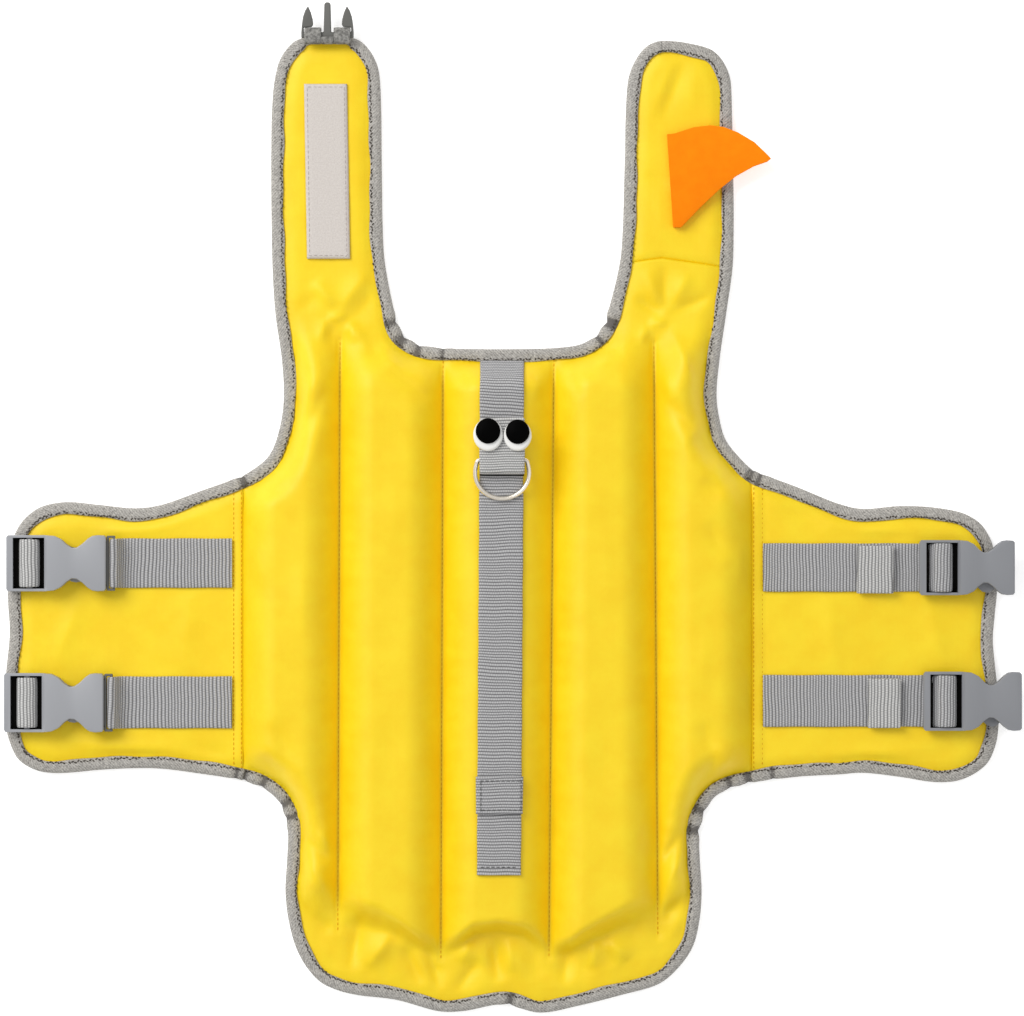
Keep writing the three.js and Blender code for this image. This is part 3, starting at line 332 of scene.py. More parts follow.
def oxford_cloth():
    """Coated Oxford weave: yarns 0.6 mm apart both ways, whose waves are multiplied, over an unevenness
    of the coating 6 mm across. To the eye a saturated yellow with a soft broad sheen and no sharp
    highlight."""
    name = "oxford_polyester_coated_yellow"
    material, tree, shader, where = base_material(name, 0.5, Specular_IOR_Level=0.42)
    yarns = dict(Vector=where, Scale=bands(0.60415), Distortion=0.6)
    waves = [add_node(tree, "ShaderNodeTexWave", bands_direction=way, **yarns).outputs["Fac"] for way in "XY"]
    cross = add_node(tree, "ShaderNodeMath", operation="MULTIPLY", inputs=waves).outputs[0]
    soft = grain(tree, where, 6.25, 0.12, 0.6)
    weave = add_node(tree, "ShaderNodeBump", Strength=0.22, Distance=0.0002, Height=cross, Normal=soft)
    colour = mottled(tree, where, "F8D209", "FADA16", 16.667, 4.0)
    set_node(tree, shader, Base_Color=colour, Normal=weave.outputs["Normal"])
    return material


def fibre(name, dark, light, patch, roughness, size, strength, depth):
    """Yarn, pile or foam: two shades in patches and a rough fine height, sizes in millimetres. Matt to
    the eye."""
    material, tree, shader, where = base_material(name, roughness, Specular_IOR_Level=0.2)
    colour = mottled(tree, where, dark, light, patch, 8.0)
    set_node(tree, shader, Base_Color=colour, Normal=grain(tree, where, size, strength, depth))
    return material


def webbing_yarn(name, dark, light):
    """Woven polyester webbing from the mesh's weave coordinates: x counts the ribs, y is the way across
    in mm. A rib is the size of the sine of its count to the power 0.8, the beads of yarn along it the
    same at 1.2 mm, half a bead over from rib to rib, with noise of 0.9 mm. To the eye pale ribs with dark
    lines between and no gloss."""
    material, tree, shader, where = base_material(name, 0.75, Specular_IOR_Level=0.2)
    weave = add_node(tree, "ShaderNodeAttribute", attribute_name="weave")
    parts = add_node(tree, "ShaderNodeSeparateXYZ", Vector=weave.outputs["Vector"])
    fuzz = dict(Scale=per_metre(0.90909), Detail=5.0, Roughness=0.7)
    noise = add_node(tree, "ShaderNodeTexNoise", Vector=where, **fuzz)
    made = dict(count=parts.outputs["X"], across=parts.outputs["Y"], noise=noise.outputs["Fac"])
    for result, operation, *values in (
        ("ribs", "MULTIPLY", "count", math.pi),
        ("rib_wave", "SINE", "ribs"),
        ("rib_size", "ABSOLUTE", "rib_wave"),
        ("rib", "POWER", "rib_size", 0.8),
        ("row", "FLOOR", "count"),
        ("half_bead", "MULTIPLY", "row", math.pi / 2),
        ("beads", "MULTIPLY", "across", math.pi / 1.2),
        ("set_beads", "ADD", "beads", "half_bead"),
        ("bead_wave", "SINE", "set_beads"),
        ("bead_size", "ABSOLUTE", "bead_wave"),
        ("bead_share", "MULTIPLY", "bead_size", 0.4),
        ("bead", "ADD", "bead_share", 0.6),
        ("yarn", "MULTIPLY", "rib", "bead"),
        ("fuzz", "MULTIPLY", "noise", 0.4),
        ("both", "ADD", "yarn", "fuzz"),
        ("height", "MULTIPLY", "both", 0.72),
    ):
        inputs = [made.get(value, value) for value in values]
        made[result] = add_node(tree, "ShaderNodeMath", operation=operation, inputs=inputs).outputs[0]
    ramp = add_node(tree, "ShaderNodeValToRGB", Fac=made["height"], stops=((0.2, dark), (0.92, light)))
    bump = add_node(tree, "ShaderNodeBump", Strength=0.5, Distance=0.0003, Height=made["height"])
    set_node(tree, shader, Base_Color=ramp.outputs["Color"], Normal=bump.outputs["Normal"])
    return material


def knit_tape(name, dark, light):
    """Knitted polyester tape: slanting ribs of 0.8 mm in the tape's own coordinates, broken up by noise
    of 0.9 mm, and darker at its tucks as painted shade. To the eye a soft mottled grey, quite matt."""
    material, tree, shader, where = base_material(name, 0.92, Specular_IOR_Level=0.15)
    own = add_node(tree, "ShaderNodeAttribute", attribute_name="along").outputs["Vector"]
    tuck = add_node(tree, "ShaderNodeAttribute", attribute_name="tuck").outputs["Fac"]
    knitted = dict(bands_direction="DIAGONAL", Scale=bands(0.7854), Distortion=5.0, Detail=3.0)
    wave = add_node(tree, "ShaderNodeTexWave", Vector=own, **knitted)
    fuzz = dict(Scale=per_metre(0.90909), Detail=6.0, Roughness=0.8)
    noise = add_node(tree, "ShaderNodeTexNoise", Vector=where, **fuzz)
    made = dict(wave=wave.outputs["Fac"], noise=noise.outputs["Fac"], tuck=tuck)
    for result, operation, *values in (
        ("ribs", "MULTIPLY", "wave", 0.1),
        ("knit", "ADD", "ribs", "noise"),
        ("shade", "MULTIPLY", "tuck", 0.3),
        ("value", "SUBTRACT", "knit", "shade"),
    ):
        inputs = [made.get(value, value) for value in values]
        made[result] = add_node(tree, "ShaderNodeMath", operation=operation, inputs=inputs).outputs[0]
    ramp = add_node(tree, "ShaderNodeValToRGB", Fac=made["value"], stops=((0.36, dark), (0.72, light)))
    bump = add_node(tree, "ShaderNodeBump", Strength=0.5, Distance=0.0004, Height=made["knit"])
    set_node(tree, shader, Base_Color=ramp.outputs["Color"], Normal=bump.outputs["Normal"])
    return material


def hard(name, colour, roughness, bump=0.0, **values):
    """Moulded, plated or painted: one colour and a grain of 1.1 mm that only softens the highlight to the
    eye."""
    material, tree, shader, where = base_material(name, roughness, Base_Color=srgb(colour), **values)
    if bump:
        set_node(tree, shader, Normal=grain(tree, where, 1.1111, bump, 0.2))
    return material


# To the eye: threads are matt and a shade darker than their cloth; moulded acetal has a soft broad highlight,
# wider on the rougher copy; the right sockets' grey is a darker copy, painted shade, and the left ones' a
# lighter one, painted light; nickel plated wire is bright with dark streaks between; the moulded eyes are
# satin; foam and pile scatter the light and show no highlight.
CLOTH = oxford_cloth()
TAPE = knit_tape("knit_binding_tape_grey", "6A6764", "CECBC5")
TAPE_THREAD = fibre("binding_thread_dark", "3A3531", "5C5650", 1.1111, 0.85, 0.66667, 0.3, 0.2)
CLOTH_THREAD = fibre("sewing_thread_yellow", "D89C00", "E8B000", 1.1111, 0.7, 0.66667, 0.3, 0.2)
WEBBING = webbing_yarn("polyester_webbing_grey", "59595B", "C8C8CA")
# A lighter copy of the webbing grey for the turns, the ring loop and the keepers that stand up into the
# light: painted light.
LIT_WEBBING = webbing_yarn("polyester_webbing_grey_painted_light", "666667", "D9D9D8")
# Near-black webbing: painted shade in the buckle slots and under the ring loop's fold.
PAINTED_SHADE_WEBBING = hard("polyester_webbing_near_black_painted_shade", "100F0E", 0.9, 0.3, Specular_IOR_Level=0.1)
TAB_WEBBING = fibre("polyester_webbing_grey_neck", "5F5E5C", "A09F9B", 1.25, 0.9, 0.76923, 0.5, 0.4)
WEB_THREAD = fibre("webbing_thread_grey", "4A4A4B", "7C7C7C", 1.1111, 0.8, 0.66667, 0.3, 0.2)
# One acetal in two greys: the lighter for the left sockets is painted light, the darker for the right is
# painted shade.
PLASTIC = hard("moulded_acetal_grey", "9EA0A5", 0.38, 0.12, Specular_IOR_Level=0.5)
SHADED_SIDE_PLASTIC = hard("moulded_acetal_grey_painted_shade", "898B90", 0.46, 0.12, Specular_IOR_Level=0.4)
DARK_PLASTIC = hard("moulded_acetal_grey_dark", "62625F", 0.5, 0.3, Specular_IOR_Level=0.4)
NICKEL = hard("nickel_plated_wire", "F4ECDE", 0.24, 0.05, Metallic=0.8)
EYE_WHITE = hard("moulded_satin_white", "F0F0EE", 0.45, 0.0, Specular_IOR_Level=0.4)
EYE_BLACK = hard("moulded_satin_black", "020202", 0.6, 0.0, Specular_IOR_Level=0.03)
FIN_FOAM = fibre("closed_cell_foam_orange", "FC8400", "FE8A02", 5.0, 0.95, 0.90909, 0.2, 0.3)
LOOP_PILE = fibre("loop_pile_off_white", "C9C2BD", "D7D1CC", 0.76923, 0.95, 0.66667, 0.35, 0.4)
LOOP_THREAD = fibre("loop_thread_pale", "A89E99", "BDB4AF", 1.1111, 0.8, 0.66667, 0.3, 0.2)
FLOOR = hard("table_pale", "FFFFFF", 0.9, 0.0, Specular_IOR_Level=0.0, Emission_Strength=0.42)


def new_object(name, points, faces, material):
    """A smooth mesh object at the origin from pattern points and lists of corner numbers."""
    mesh = bpy.data.meshes.new(name)
    mesh.from_pydata(place(points).tolist(), [], faces)
    mesh.materials.append(material)
    mesh.shade_smooth()
    mesh.update()
    made = bpy.data.objects.new(name, mesh)
    bpy.context.scene.collection.objects.link(made)
    return made


def mark_points(made, name, kind, field, values):
    """An attribute on a mesh's points, for its material to read."""
    made.data.attributes.new(name, kind, "POINT").data.foreach_set(field, np.ravel(values))


def lengths_along(line):
    """Length from a line's first point to each of its points."""
    return np.concatenate([[0], np.cumsum(np.linalg.norm(np.diff(line, axis=0), axis=1))])


def places_along(line, length, at):
    """Points of a line at given lengths along it."""
    return np.stack([np.interp(at, length, places) for places in line.T], 1)


def across_left(along):
    """Directions in the plane turned a quarter to the left."""
    return np.stack([-along[:, 1], along[:, 0]], 1)


def loop_directions(loop):
    """Direction of a closed run at each point: from the point before to the one after, made one long."""
    along = np.roll(loop, -1, 0) - np.roll(loop, 1, 0)
    return along / np.linalg.norm(along, axis=1, keepdims=True)


def bell(value, wide):
    """One at nought, falling on both sides as the exponential of minus the squared share of the width."""
    return np.exp(-((value / wide) ** 2))


def join_up(made, body, slot, *nodes):
    """Rides on a body and stands for its nodes, which it hides. Its slot is not used."""
    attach(made, body)
    if nodes:
        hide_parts(*nodes)


def smoothstep(low, high, value):
    """0 below low, 1 above high, an S between."""
    share = np.clip((value - low) / (high - low), 0, 1)
    return share * share * (3 - 2 * share)


def swell(share):
    """Quarter of a sine to the power 0.8: steep at the seam and level at the top."""
    return np.sin(np.pi / 2 * np.clip(share, 0, 1)) ** 0.8


def noise2(x, y, size, seed):
    """Smooth noise in the plane: four sines of unlike directions, about the given size long, from -1 to
    1."""
    r = np.random.default_rng(seed)
    total = 0
    for _ in range(4):
        turn = r.uniform(0, 2 * np.pi)
        length = size * r.uniform(0.7, 1.5)
        way = x * np.cos(turn) + y * np.sin(turn)
        total = total + np.sin(way * 2 * np.pi / length + r.uniform(0, 6.28))
    return total / 4


def edge_stations(node, start):
    """The stations of one binding node: its points at the fold, each the nearest to the one before."""
    co = np.array([v.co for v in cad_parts[node].data.vertices]) * 1000 - SHIFT
    rim = co[np.abs(co[:, 2] - TAPE_TOP / 2) < 0.01][:, :2]
    rim = np.unique(np.round(rim, 2), axis=0)
    stations = [start]
    while len(rim):
        nearest = np.argmin(np.linalg.norm(rim - stations[-1], axis=1))
        stations.append(rim[nearest])
        rim = np.delete(rim, nearest, axis=0)
    return np.array(stations[1:])


def smooth_loop(points, step):
    """A centripetal curve through a closed run of points, cut into steps of about one length. Each span is
    blended from its four nearest points, whose marks are the sums of the roots of the gaps between them."""
    near = np.stack([np.roll(points, 1 - k, 0) for k in range(4)])
    gaps = np.linalg.norm(np.diff(near, axis=0), axis=2)
    roots = np.maximum(gaps, 1e-6) ** 0.5
    pieces = np.maximum(1, np.round(gaps[1] / step)).astype(int)
    starts = np.cumsum(pieces) - pieces
    span = np.repeat(np.arange(len(points)), pieces)
    share = (np.arange(len(span)) - starts[span]) / pieces[span]
    p = near[:, span]
    t = np.concatenate([np.zeros((1, len(points))), np.cumsum(roots, 0)])[:, span, None]
    s = t[1] + (t[2] - t[1]) * share[:, None]

    def blend(low, high, first, second):
        return ((high - s) * first + (s - low) * second) / (high - low)

    a = [blend(t[k], t[k + 1], p[k], p[k + 1]) for k in range(3)]
    b = [blend(t[k], t[k + 2], a[k], a[k + 1]) for k in range(2)]
    return blend(t[1], t[2], *b), starts


def read_edge():
    """The whole edge as one closed curve, and where each binding node starts on it."""
    start = np.array([-92.0, 236.6])
    runs = []
    for node in BINDINGS:
        run = edge_stations(node, start)
        start = run[-1]
        runs.append(run[:-1])
    curve, marks = smooth_loop(np.concatenate(runs), 1.6)
    firsts = np.cumsum([0] + [len(run) for run in runs[:-1]])
    return curve, [marks[i] for i in firsts]


EDGE, EDGE_STARTS = read_edge()
EDGE_ALONG = loop_directions(EDGE)
EDGE_IN = across_left(EDGE_ALONG)
# The edge's points and three more in each step, under 0.5 mm apart
FINE_EDGE = np.concatenate([EDGE + (np.roll(EDGE, -1, 0) - EDGE) * share for share in (0, 0.25, 0.5, 0.75)])


def edge_distance(x, y):
    """Distance to the nearest fine point of the edge: the root of the least squared distance, which is the
    place's own square, less twice its product with the point, plus the point's square."""
    flat = np.stack([np.ravel(x), np.ravel(y)], 1)
    least = np.full(len(flat), np.inf)
    for part in np.array_split(FINE_EDGE, len(FINE_EDGE) // 64):
        least = np.minimum(least, ((part**2).sum(1) - 2 * flat @ part.T).min(1))
    return np.sqrt(np.maximum(least + (flat**2).sum(1), 0)).reshape(np.shape(x))


def inside_edge(x, y):
    """Whether points lie inside the closed edge, by counting the crossings to their left."""
    odd = np.zeros(x.shape, bool)
    for a, b in zip(EDGE, np.roll(EDGE, -1, 0)):
        spans = (a[1] > y) != (b[1] > y)
        if spans.any():
            at = a[0] + (b[0] - a[0]) * (y - a[1]) / (b[1] - a[1] if b[1] != a[1] else 1e-9)
            odd ^= spans & (at < x)
    return odd


def seam_x(seam, y):
    """Where a channel seam is at a height: along the straight line between its ends."""
    share = (seam["top_y"] - y) / (seam["top_y"] - seam["low_y"])
    return seam["top_x"] + (seam["low_x"] - seam["top_x"]) * share


def line_distance(x, y, ax, ay, bx, by):
    """Distance from points to a straight line between two ends."""
    dx = bx - ax
    dy = by - ay
    share = np.clip(((x - ax) * dx + (y - ay) * dy) / (dx * dx + dy * dy), 0, 1)
    return np.hypot(x - ax - share * dx, y - ay - share * dy)


def channel_distance(x, y):
    """Distance to the nearest channel seam."""
    return np.min([line_distance(x, y, *seam.values()) for seam in SEAMS], axis=0)


def wing_seam_distance(x, y):
    """Distance to the nearer of the two seams between wing and body."""
    left = line_distance(x, y, LEFT_SEAM_X, 16.3, LEFT_SEAM_X, -136.8)
    right = line_distance(x, y, RIGHT_SEAM_X, 19.5, RIGHT_SEAM_X, -137.8)
    return np.minimum(left, right)


def column(rows, name, x):
    """One column of a table at places between its rows."""
    return np.interp(x, [row["x"] for row in rows], [row[name] for row in rows])


def fold_heights(x, y, folds):
    """Sum of the folds: full height at the middle of each line, falling to its ends by the power 1.3 of
    one less the squared way along, and across it as the exponential of minus the share of the width to
    the power 1.45."""
    total = np.zeros_like(x)
    for fold in folds:
        half = np.array([fold["x1"] - fold["x0"], fold["y1"] - fold["y0"]]) / 2
        length = np.hypot(*half)
        dx = x - fold["x0"] - half[0]
        dy = y - fold["y0"] - half[1]
        along = (dx * half[0] + dy * half[1]) / length**2
        across = (dy * half[0] - dx * half[1]) / length / fold["wide"]
        total += fold["rise"] * np.clip(1 - along**2, 0, 1) ** 1.3 * np.exp(-(np.abs(across) ** 1.45))
    return total


def puckers(x, y, reach):
    """Small gathers beside a seam: ridges across it at uneven spacing, fading with the distance from it."""
    even = np.sin(y * 2 * np.pi / 9.5 + 1.6 * noise2(x * 0.15, y, 60, 5))
    wave = even * 0.6 + 0.5 * noise2(x * 0.3, y, 15, 6)
    return wave * bell(reach, 7.0) * (1 - bell(reach, 1.8))


def body_height(x, y, detail=True):
    """Top of the body: foam between seams, thin straps, flat hem at the tail, folds and small unevenness."""
    edge = edge_distance(x, y)
    past = np.maximum(edge - TAPE_IN, 0)
    channels = channel_distance(x, y)
    seams = np.minimum(channels, wing_seam_distance(x, y) + 0.7)
    strap = smoothstep(58, 96, y)
    foam = CROWN + (STRAP_TOP - CROWN) * strap
    crest = column(FOAM_END, "crest", x)
    tail = TAIL_TOP + (foam - TAIL_TOP) * smoothstep(crest - column(FOAM_END, "drop", x), crest, y)
    round_off = 15 + (8 - 15) * strap
    base = HEM_TOP + (tail - HEM_TOP) * swell(past / round_off) * swell(seams / 18)
    fade = smoothstep(0, 6, np.minimum(past, seams))
    folds = 1.25 * fold_heights(x, y, BODY_FOLDS) * fade
    if not detail:
        return base + folds
    loose = 0.45 * noise2(x, y, 70, 3) + 0.25 * noise2(x, y, 28, 4)
    beside_edge = bell(past - 4, 5) * smoothstep(0, 4, past) * (1 - 0.7 * strap)
    edge_gather = 0.28 * noise2(x * 1.3, y * 1.3, 13, 8) * beside_edge
    sink = -0.5 * bell(channels, 1.0) * smoothstep(-1, 3, past)
    gather = 0.55 * puckers(x, y, channels) * smoothstep(2, 8, past) * (1 - strap)
    return base + folds + (loose + gather + edge_gather) * fade + sink


def wing_height(x, y):
    """Top of a wing: flat, rounded to the tape and to its seam, with a topstitched ridge beside the seam,
    and smooth where a strap lies on it."""
    past = np.maximum(edge_distance(x, y) - TAPE_IN, 0)
    seam = wing_seam_distance(x, y)
    base = HEM_TOP + (WING_TOP - HEM_TOP) * swell(past / 6) * swell((seam + 1.6) / 3)
    fade = smoothstep(0, 5, past) * smoothstep(3, 9, seam)
    loose = 0.22 * noise2(x, y, 46, 11) + 0.12 * noise2(x, y, 18, 12)
    band = np.where(x < 0, 4.7, 5.2)
    groove = -0.55 * bell(seam - band, 0.8) - 0.35 * bell(seam - 0.9, 0.6)
    groove = (groove + 0.5 * smoothstep(band + 0.8, band - 0.8, seam)) * smoothstep(0, 4, past)
    under_strap = np.zeros_like(x)
    for strap in STRAP_SETS:
        under_strap = np.maximum(under_strap, 1 - smoothstep(12, 16, np.abs(y - strap["y"])))
    under_strap = np.where(np.abs(x) < np.where(x < 0, 139, 125), 0, under_strap)
    return base + (1.5 * fold_heights(x, y, WING_FOLDS) + loose) * fade * (1 - under_strap) + groove


def strap_end_height(x, y):
    """Top of the right strap's end: flat, rounded to the tape, sunk a little at the cross seam."""
    past = np.maximum(edge_distance(x, y) - TAPE_IN, 0)
    away = np.abs(y - strap_seam_y(x))
    base = HEM_TOP + (STRAP_TOP - HEM_TOP) * swell(past / 6)
    loose = (0.16 * noise2(x, y, 40, 21) + fold_heights(x, y, STRAP_FOLDS)) * smoothstep(0, 5, past)
    return base + loose - 0.9 * bell(away, 1.6) * smoothstep(0, 3, past)


def strap_seam_y(x):
    """Height of the cross seam at a width: between the rows of its table."""
    return column(STRAP_SEAM, "y", x)


def pattern_rows(low, high):
    """Rows CELL apart, one of them on the strap seam's middle height."""
    first = math.ceil((low - STRAP_ROW) / CELL)
    last = math.floor((high - STRAP_ROW) / CELL)
    return STRAP_ROW + CELL * np.arange(first, last + 1)


def warp_rows(x, y):
    """Bends the rows near the cross seam of the right strap on to it, by a bell of 18 mm."""
    reach = bell(y - STRAP_ROW, 18) * smoothstep(30, 50, x)
    return y + (strap_seam_y(x) - STRAP_ROW) * reach


def slab(name, x, y, top, low, keep, material):
    """A closed panel over the kept cells of a grid: top face, underside and the walls between."""
    rows, columns = x.shape
    used = np.zeros((rows, columns), bool)
    for di in (0, 1):
        for dj in (0, 1):
            used[di : rows - 1 + di, dj : columns - 1 + dj] |= keep
    count = int(used.sum())
    number = np.full((rows, columns), -1)
    number[used] = np.arange(count)
    points = np.concatenate([np.stack([x[used], y[used], level[used]], 1) for level in (top, low)])
    a = number[:-1, :-1][keep]
    b = number[:-1, 1:][keep]
    c = number[1:, 1:][keep]
    d = number[1:, :-1][keep]
    faces = [np.stack([a, b, c, d], 1), np.stack([a, d, c, b], 1) + count]
    padded = np.pad(keep, 1)
    inner = padded[1:-1, 1:-1]
    sides = [
        (inner & ~padded[:-2, 1:-1], (0, 0), (0, 1)),
        (inner & ~padded[1:-1, 2:], (0, 1), (1, 1)),
        (inner & ~padded[2:, 1:-1], (1, 1), (1, 0)),
        (inner & ~padded[1:-1, :-2], (1, 0), (0, 0)),
    ]
    for which, first, second in sides:
        i, j = np.nonzero(which)
        p = number[i + first[0], j + first[1]]
        q = number[i + second[0], j + second[1]]
        faces.append(np.stack([q, p, p + count, q + count], 1))
    return new_object(name, points, np.concatenate(faces).tolist(), material)


def low_height(x, y):
    """Underside: flat on the table, raised where the tape folds under the edge and grooved at each seam."""
    seams = np.minimum(channel_distance(x, y), wing_seam_distance(x, y))
    rim = EDGE_LOW * (1 - smoothstep(7.2, 10.5, edge_distance(x, y)))
    return np.maximum(rim, 0.9 * bell(seams, 1.8))


def body_grid():
    """Columns that follow the channel seams, from wing seam to wing seam."""
    rows = pattern_rows(-252, 236)
    marks = [LEFT_SEAM_X, -86.6, -35, 19.8, 72, RIGHT_SEAM_X]
    columns = [0.0]
    for i, wide in enumerate(np.diff(marks)):
        pieces = round(wide / CELL)
        columns += list(i + np.arange(1, pieces + 1) / pieces)
    y = np.repeat(rows[:, None], len(columns), 1)
    ends = [np.full(len(rows), x) for x in (LEFT_SEAM_X, RIGHT_SEAM_X)]
    lines = np.stack([ends[0], *(seam_x(seam, rows) for seam in SEAMS), ends[1]], 1)
    x = np.stack([np.interp(columns, range(len(marks)), line) for line in lines])
    return x, warp_rows(x, y)


def cells(x, y):
    """Middle of each cell of a grid, and whether it is kept: inside the edge and more than 2.2 mm from
    it."""
    mx = (x[:-1, :-1] + x[1:, 1:]) / 2
    my = (y[:-1, :-1] + y[1:, 1:]) / 2
    return mx, inside_edge(mx, my) & (edge_distance(mx, my) > 2.2)


def panel(name, node, x, y, top, keep):
    """One cut panel of the cloth, padded by its share of fill."""
    made = slab(name, x, y, top, low_height(x, y), keep, CLOTH)
    join_up(made, "jacket", "shell_cloth", node)


def make_panels():
    """The four cut panels: body with its left strap, right strap end, and the two wings."""
    x, y = body_grid()
    mx, kept = cells(x, y)
    above = (pattern_rows(-252, 236)[:-1, None] >= STRAP_ROW - 0.01) & (mx > 45)
    panel("body_cloth", "body_panel", x, y, body_height(x, y), kept & ~above)
    panel("right_strap_cloth", "right_strap_end", x, y, strap_end_height(x, y), kept & above)
    for side, start, end in (("left", -253.0, LEFT_SEAM_X), ("right", RIGHT_SEAM_X, 243.5)):
        count = round((end - start) / CELL)
        x, y = np.meshgrid(np.linspace(start, end, count + 1), pattern_rows(-140, 20))
        panel(f"{side}_wing_cloth", f"{side}_wing", x, y, wing_height(x, y), cells(x, y)[1])


# Folded tape in section: distance in from the edge and height, from the lower flange round to the upper
TAPE_SECTION = table("d z", [
    (6.0, 0.1),
    (3.5, 0.0),
    (1.5, 0.1),
    (0.5, 0.7),
    (0.05, 1.9),
    (0.1, 3.1),
    (0.7, 4.2),
    (1.7, 4.8),
    (3.0, 5.0),
    (4.2, 5.0),
    (5.1, 4.85),
    (5.8, 4.75),
    (6.3, 4.4),
    (6.3, 3.9),
    (5.2, 3.6),
    (1.9, 3.6),
    (1.4, 2.4),
    (1.9, 1.2),
    (5.9, 1.1),
])


# Tucks where the tape turns a tight corner: place, half width and depth
TUCKS = table("x y wide deep", [
    (-59, 92.5, 1.6, 1.5),
    (-55, 84.5, 1.7, 1.7),
    (-46, 80, 1.5, 1.3),
    (-35, 77, 1.3, 0.9),
    (47.5, 93.5, 2.0, 2.2),
    (42, 86, 1.4, 1.0),
    (-134.5, 14, 1.8, 1.4),
    (119.5, 16.5, 1.6, 1.4),
    (124.5, 15.5, 1.4, 1.1),
    (-137.5, -132, 1.5, 1.0),
    (-134, -133.5, 1.5, 1.4),
    (-123, -134.5, 1.6, 1.3),
    (-111, -147, 1.7, 1.3),
    (-108.5, -155, 1.6, 1.2),
    (130.5, -132.5, 1.4, 0.9),
    (117.5, -134, 1.5, 1.4),
    (110, -139, 1.5, 1.2),
    (93, -151, 1.6, 1.5),
    (91, -161, 1.7, 1.6),
    (-1.2, -246, 1.6, 1.4),
])


def tuck_depths(picks):
    """Depth of the tucks at stations of the edge: a bell round the station nearest to each of them."""
    total = np.zeros(len(EDGE))
    step = np.linalg.norm(np.roll(EDGE, -1, 0) - EDGE, axis=1).mean()
    for tuck in TUCKS:
        nearest = int(np.argmin(np.hypot(EDGE[:, 0] - tuck["x"], EDGE[:, 1] - tuck["y"])))
        gap = (np.arange(len(EDGE)) - nearest + len(EDGE) // 2) % len(EDGE) - len(EDGE) // 2
        total += tuck["deep"] * bell(gap * step, tuck["wide"])
    return total[picks]


def ring_faces(count, size, closed=False):
    """Quads between rings of points, and the two end faces of an open run as the last two."""
    i, j = np.divmod(np.arange((count if closed else count - 1) * size), size)
    k = (j + 1) % size
    after = (i + 1) % count
    faces = np.stack([i * size + j, i * size + k, after * size + k, after * size + j], 1).tolist()
    if not closed:
        faces += [list(range(size))[::-1], list(range((count - 1) * size, count * size))]
    return faces


def recalculate(made):
    """Turns the faces outwards."""
    work = bmesh.new()
    work.from_mesh(made.data)
    bmesh.ops.recalc_face_normals(work, faces=work.faces)
    work.to_mesh(made.data)
    work.free()
    return made


def tape_reach(x, y):
    """How far the tape reaches in against its full width: two thirds at the neck tab, all of it 15 mm
    away."""
    return 1 - 0.34 * smoothstep(15, 10.5, np.abs(x - TAB_X)) * (y > 220)


def make_bindings():
    """Tape round the edge in its six lengths: its section swept, its reach and height a little uneven by
    slow sines, drawn in and down at the tucks and swollen beside them."""
    d = np.array([row["d"] for row in TAPE_SECTION])
    z = np.array([row["z"] for row in TAPE_SECTION])
    count = len(EDGE)
    length = lengths_along(EDGE)
    for k, node in enumerate(BINDINGS):
        last = EDGE_STARTS[(k + 1) % len(BINDINGS)] + (count if k == len(BINDINGS) - 1 else 0)
        picks = np.arange(EDGE_STARTS[k], last + 1) % count
        s = length[picks][:, None]
        tucks = tuck_depths(picks)[:, None]
        swollen = (np.roll(tucks, 3) + np.roll(tucks, -3)) * 0.22
        reach = 1 + 0.05 * np.sin(s / 9.0) + 0.04 * np.sin(s / 3.7 + 1)
        reach *= tape_reach(*EDGE[picks].T)[:, None]
        crush = 1 + 0.04 * np.sin(s / 5.3 + 2) + 0.03 * np.sin(s / 2.1) - 0.42 * tucks + 0.3 * swollen
        drawn = 0.55 * tucks - 0.5 * swollen
        across = d * np.where(d > 2, reach, 1) + drawn * np.maximum(0, 1 - d / 6)
        lift = np.where(z < 3, z, 3 + (z - 3) * np.maximum(0.7, crush))
        spot = EDGE[picks][:, None] + EDGE_IN[picks][:, None] * across[..., None]
        spot[0] += 0.05 * EDGE_ALONG[picks[0]]
        spot[-1] -= 0.05 * EDGE_ALONG[picks[-1]]
        points = np.dstack([spot, lift]).reshape(-1, 3)
        tape = new_object(node.replace("binding", "tape"), points, ring_faces(len(picks), len(d)), TAPE)
        own = np.broadcast_arrays(s / 1000, np.where(z > 2.4, d, -d) / 1000, 0 * s)
        mark_points(tape, "along", "FLOAT_VECTOR", "vector", np.stack(own, -1))
        # The tuck mask darkens the tape in its material: painted shade in the tucks.
        mark_points(tape, "tuck", "FLOAT", "value", np.repeat(np.minimum(1, tucks) ** 2, len(d)))
        recalculate(tape)
        join_up(tape, "jacket", "binding_tape", node)


def stitches(name, marks, directions, size, material, slot):
    """Short threads: a six-sided bead at each mark, full between its quarters and 0.35 as thick at its
    ends."""
    length, width, height = size
    turn = np.arange(6) * math.pi / 3
    share = np.repeat([-0.5, -0.25, 0.25, 0.5], 6)[:, None]
    fat = np.array([0.35, 1.0, 1.0, 0.35])[:, None] / 2
    aside = np.ravel(fat * width * np.cos(turn))[:, None]
    ahead = directions[:, None] * share * length
    flat = marks[:, None, :2] + ahead + across_left(directions)[:, None] * aside
    points = np.dstack([flat, marks[:, 2:] + np.ravel(fat * height * np.sin(turn))])
    bead = ring_faces(4, 6)
    first = np.arange(len(marks))[:, None, None] * 24
    sides = (np.array(bead[:-2]) + first).reshape(-1, 4)
    ends = (np.array(bead[-2:]) + first).reshape(-1, 6)
    faces = sides.tolist() + ends.tolist()
    join_up(recalculate(new_object(name, points.reshape(-1, 3), faces, material)), "jacket", slot)


def stitch_rows(name, rows, pitch, size, material, slot):
    """Threads along several lines, as one object."""
    marks, directions = zip(*[along_line(row, pitch) for row in rows])
    stitches(name, np.concatenate(marks), np.concatenate(directions), size, material, slot)


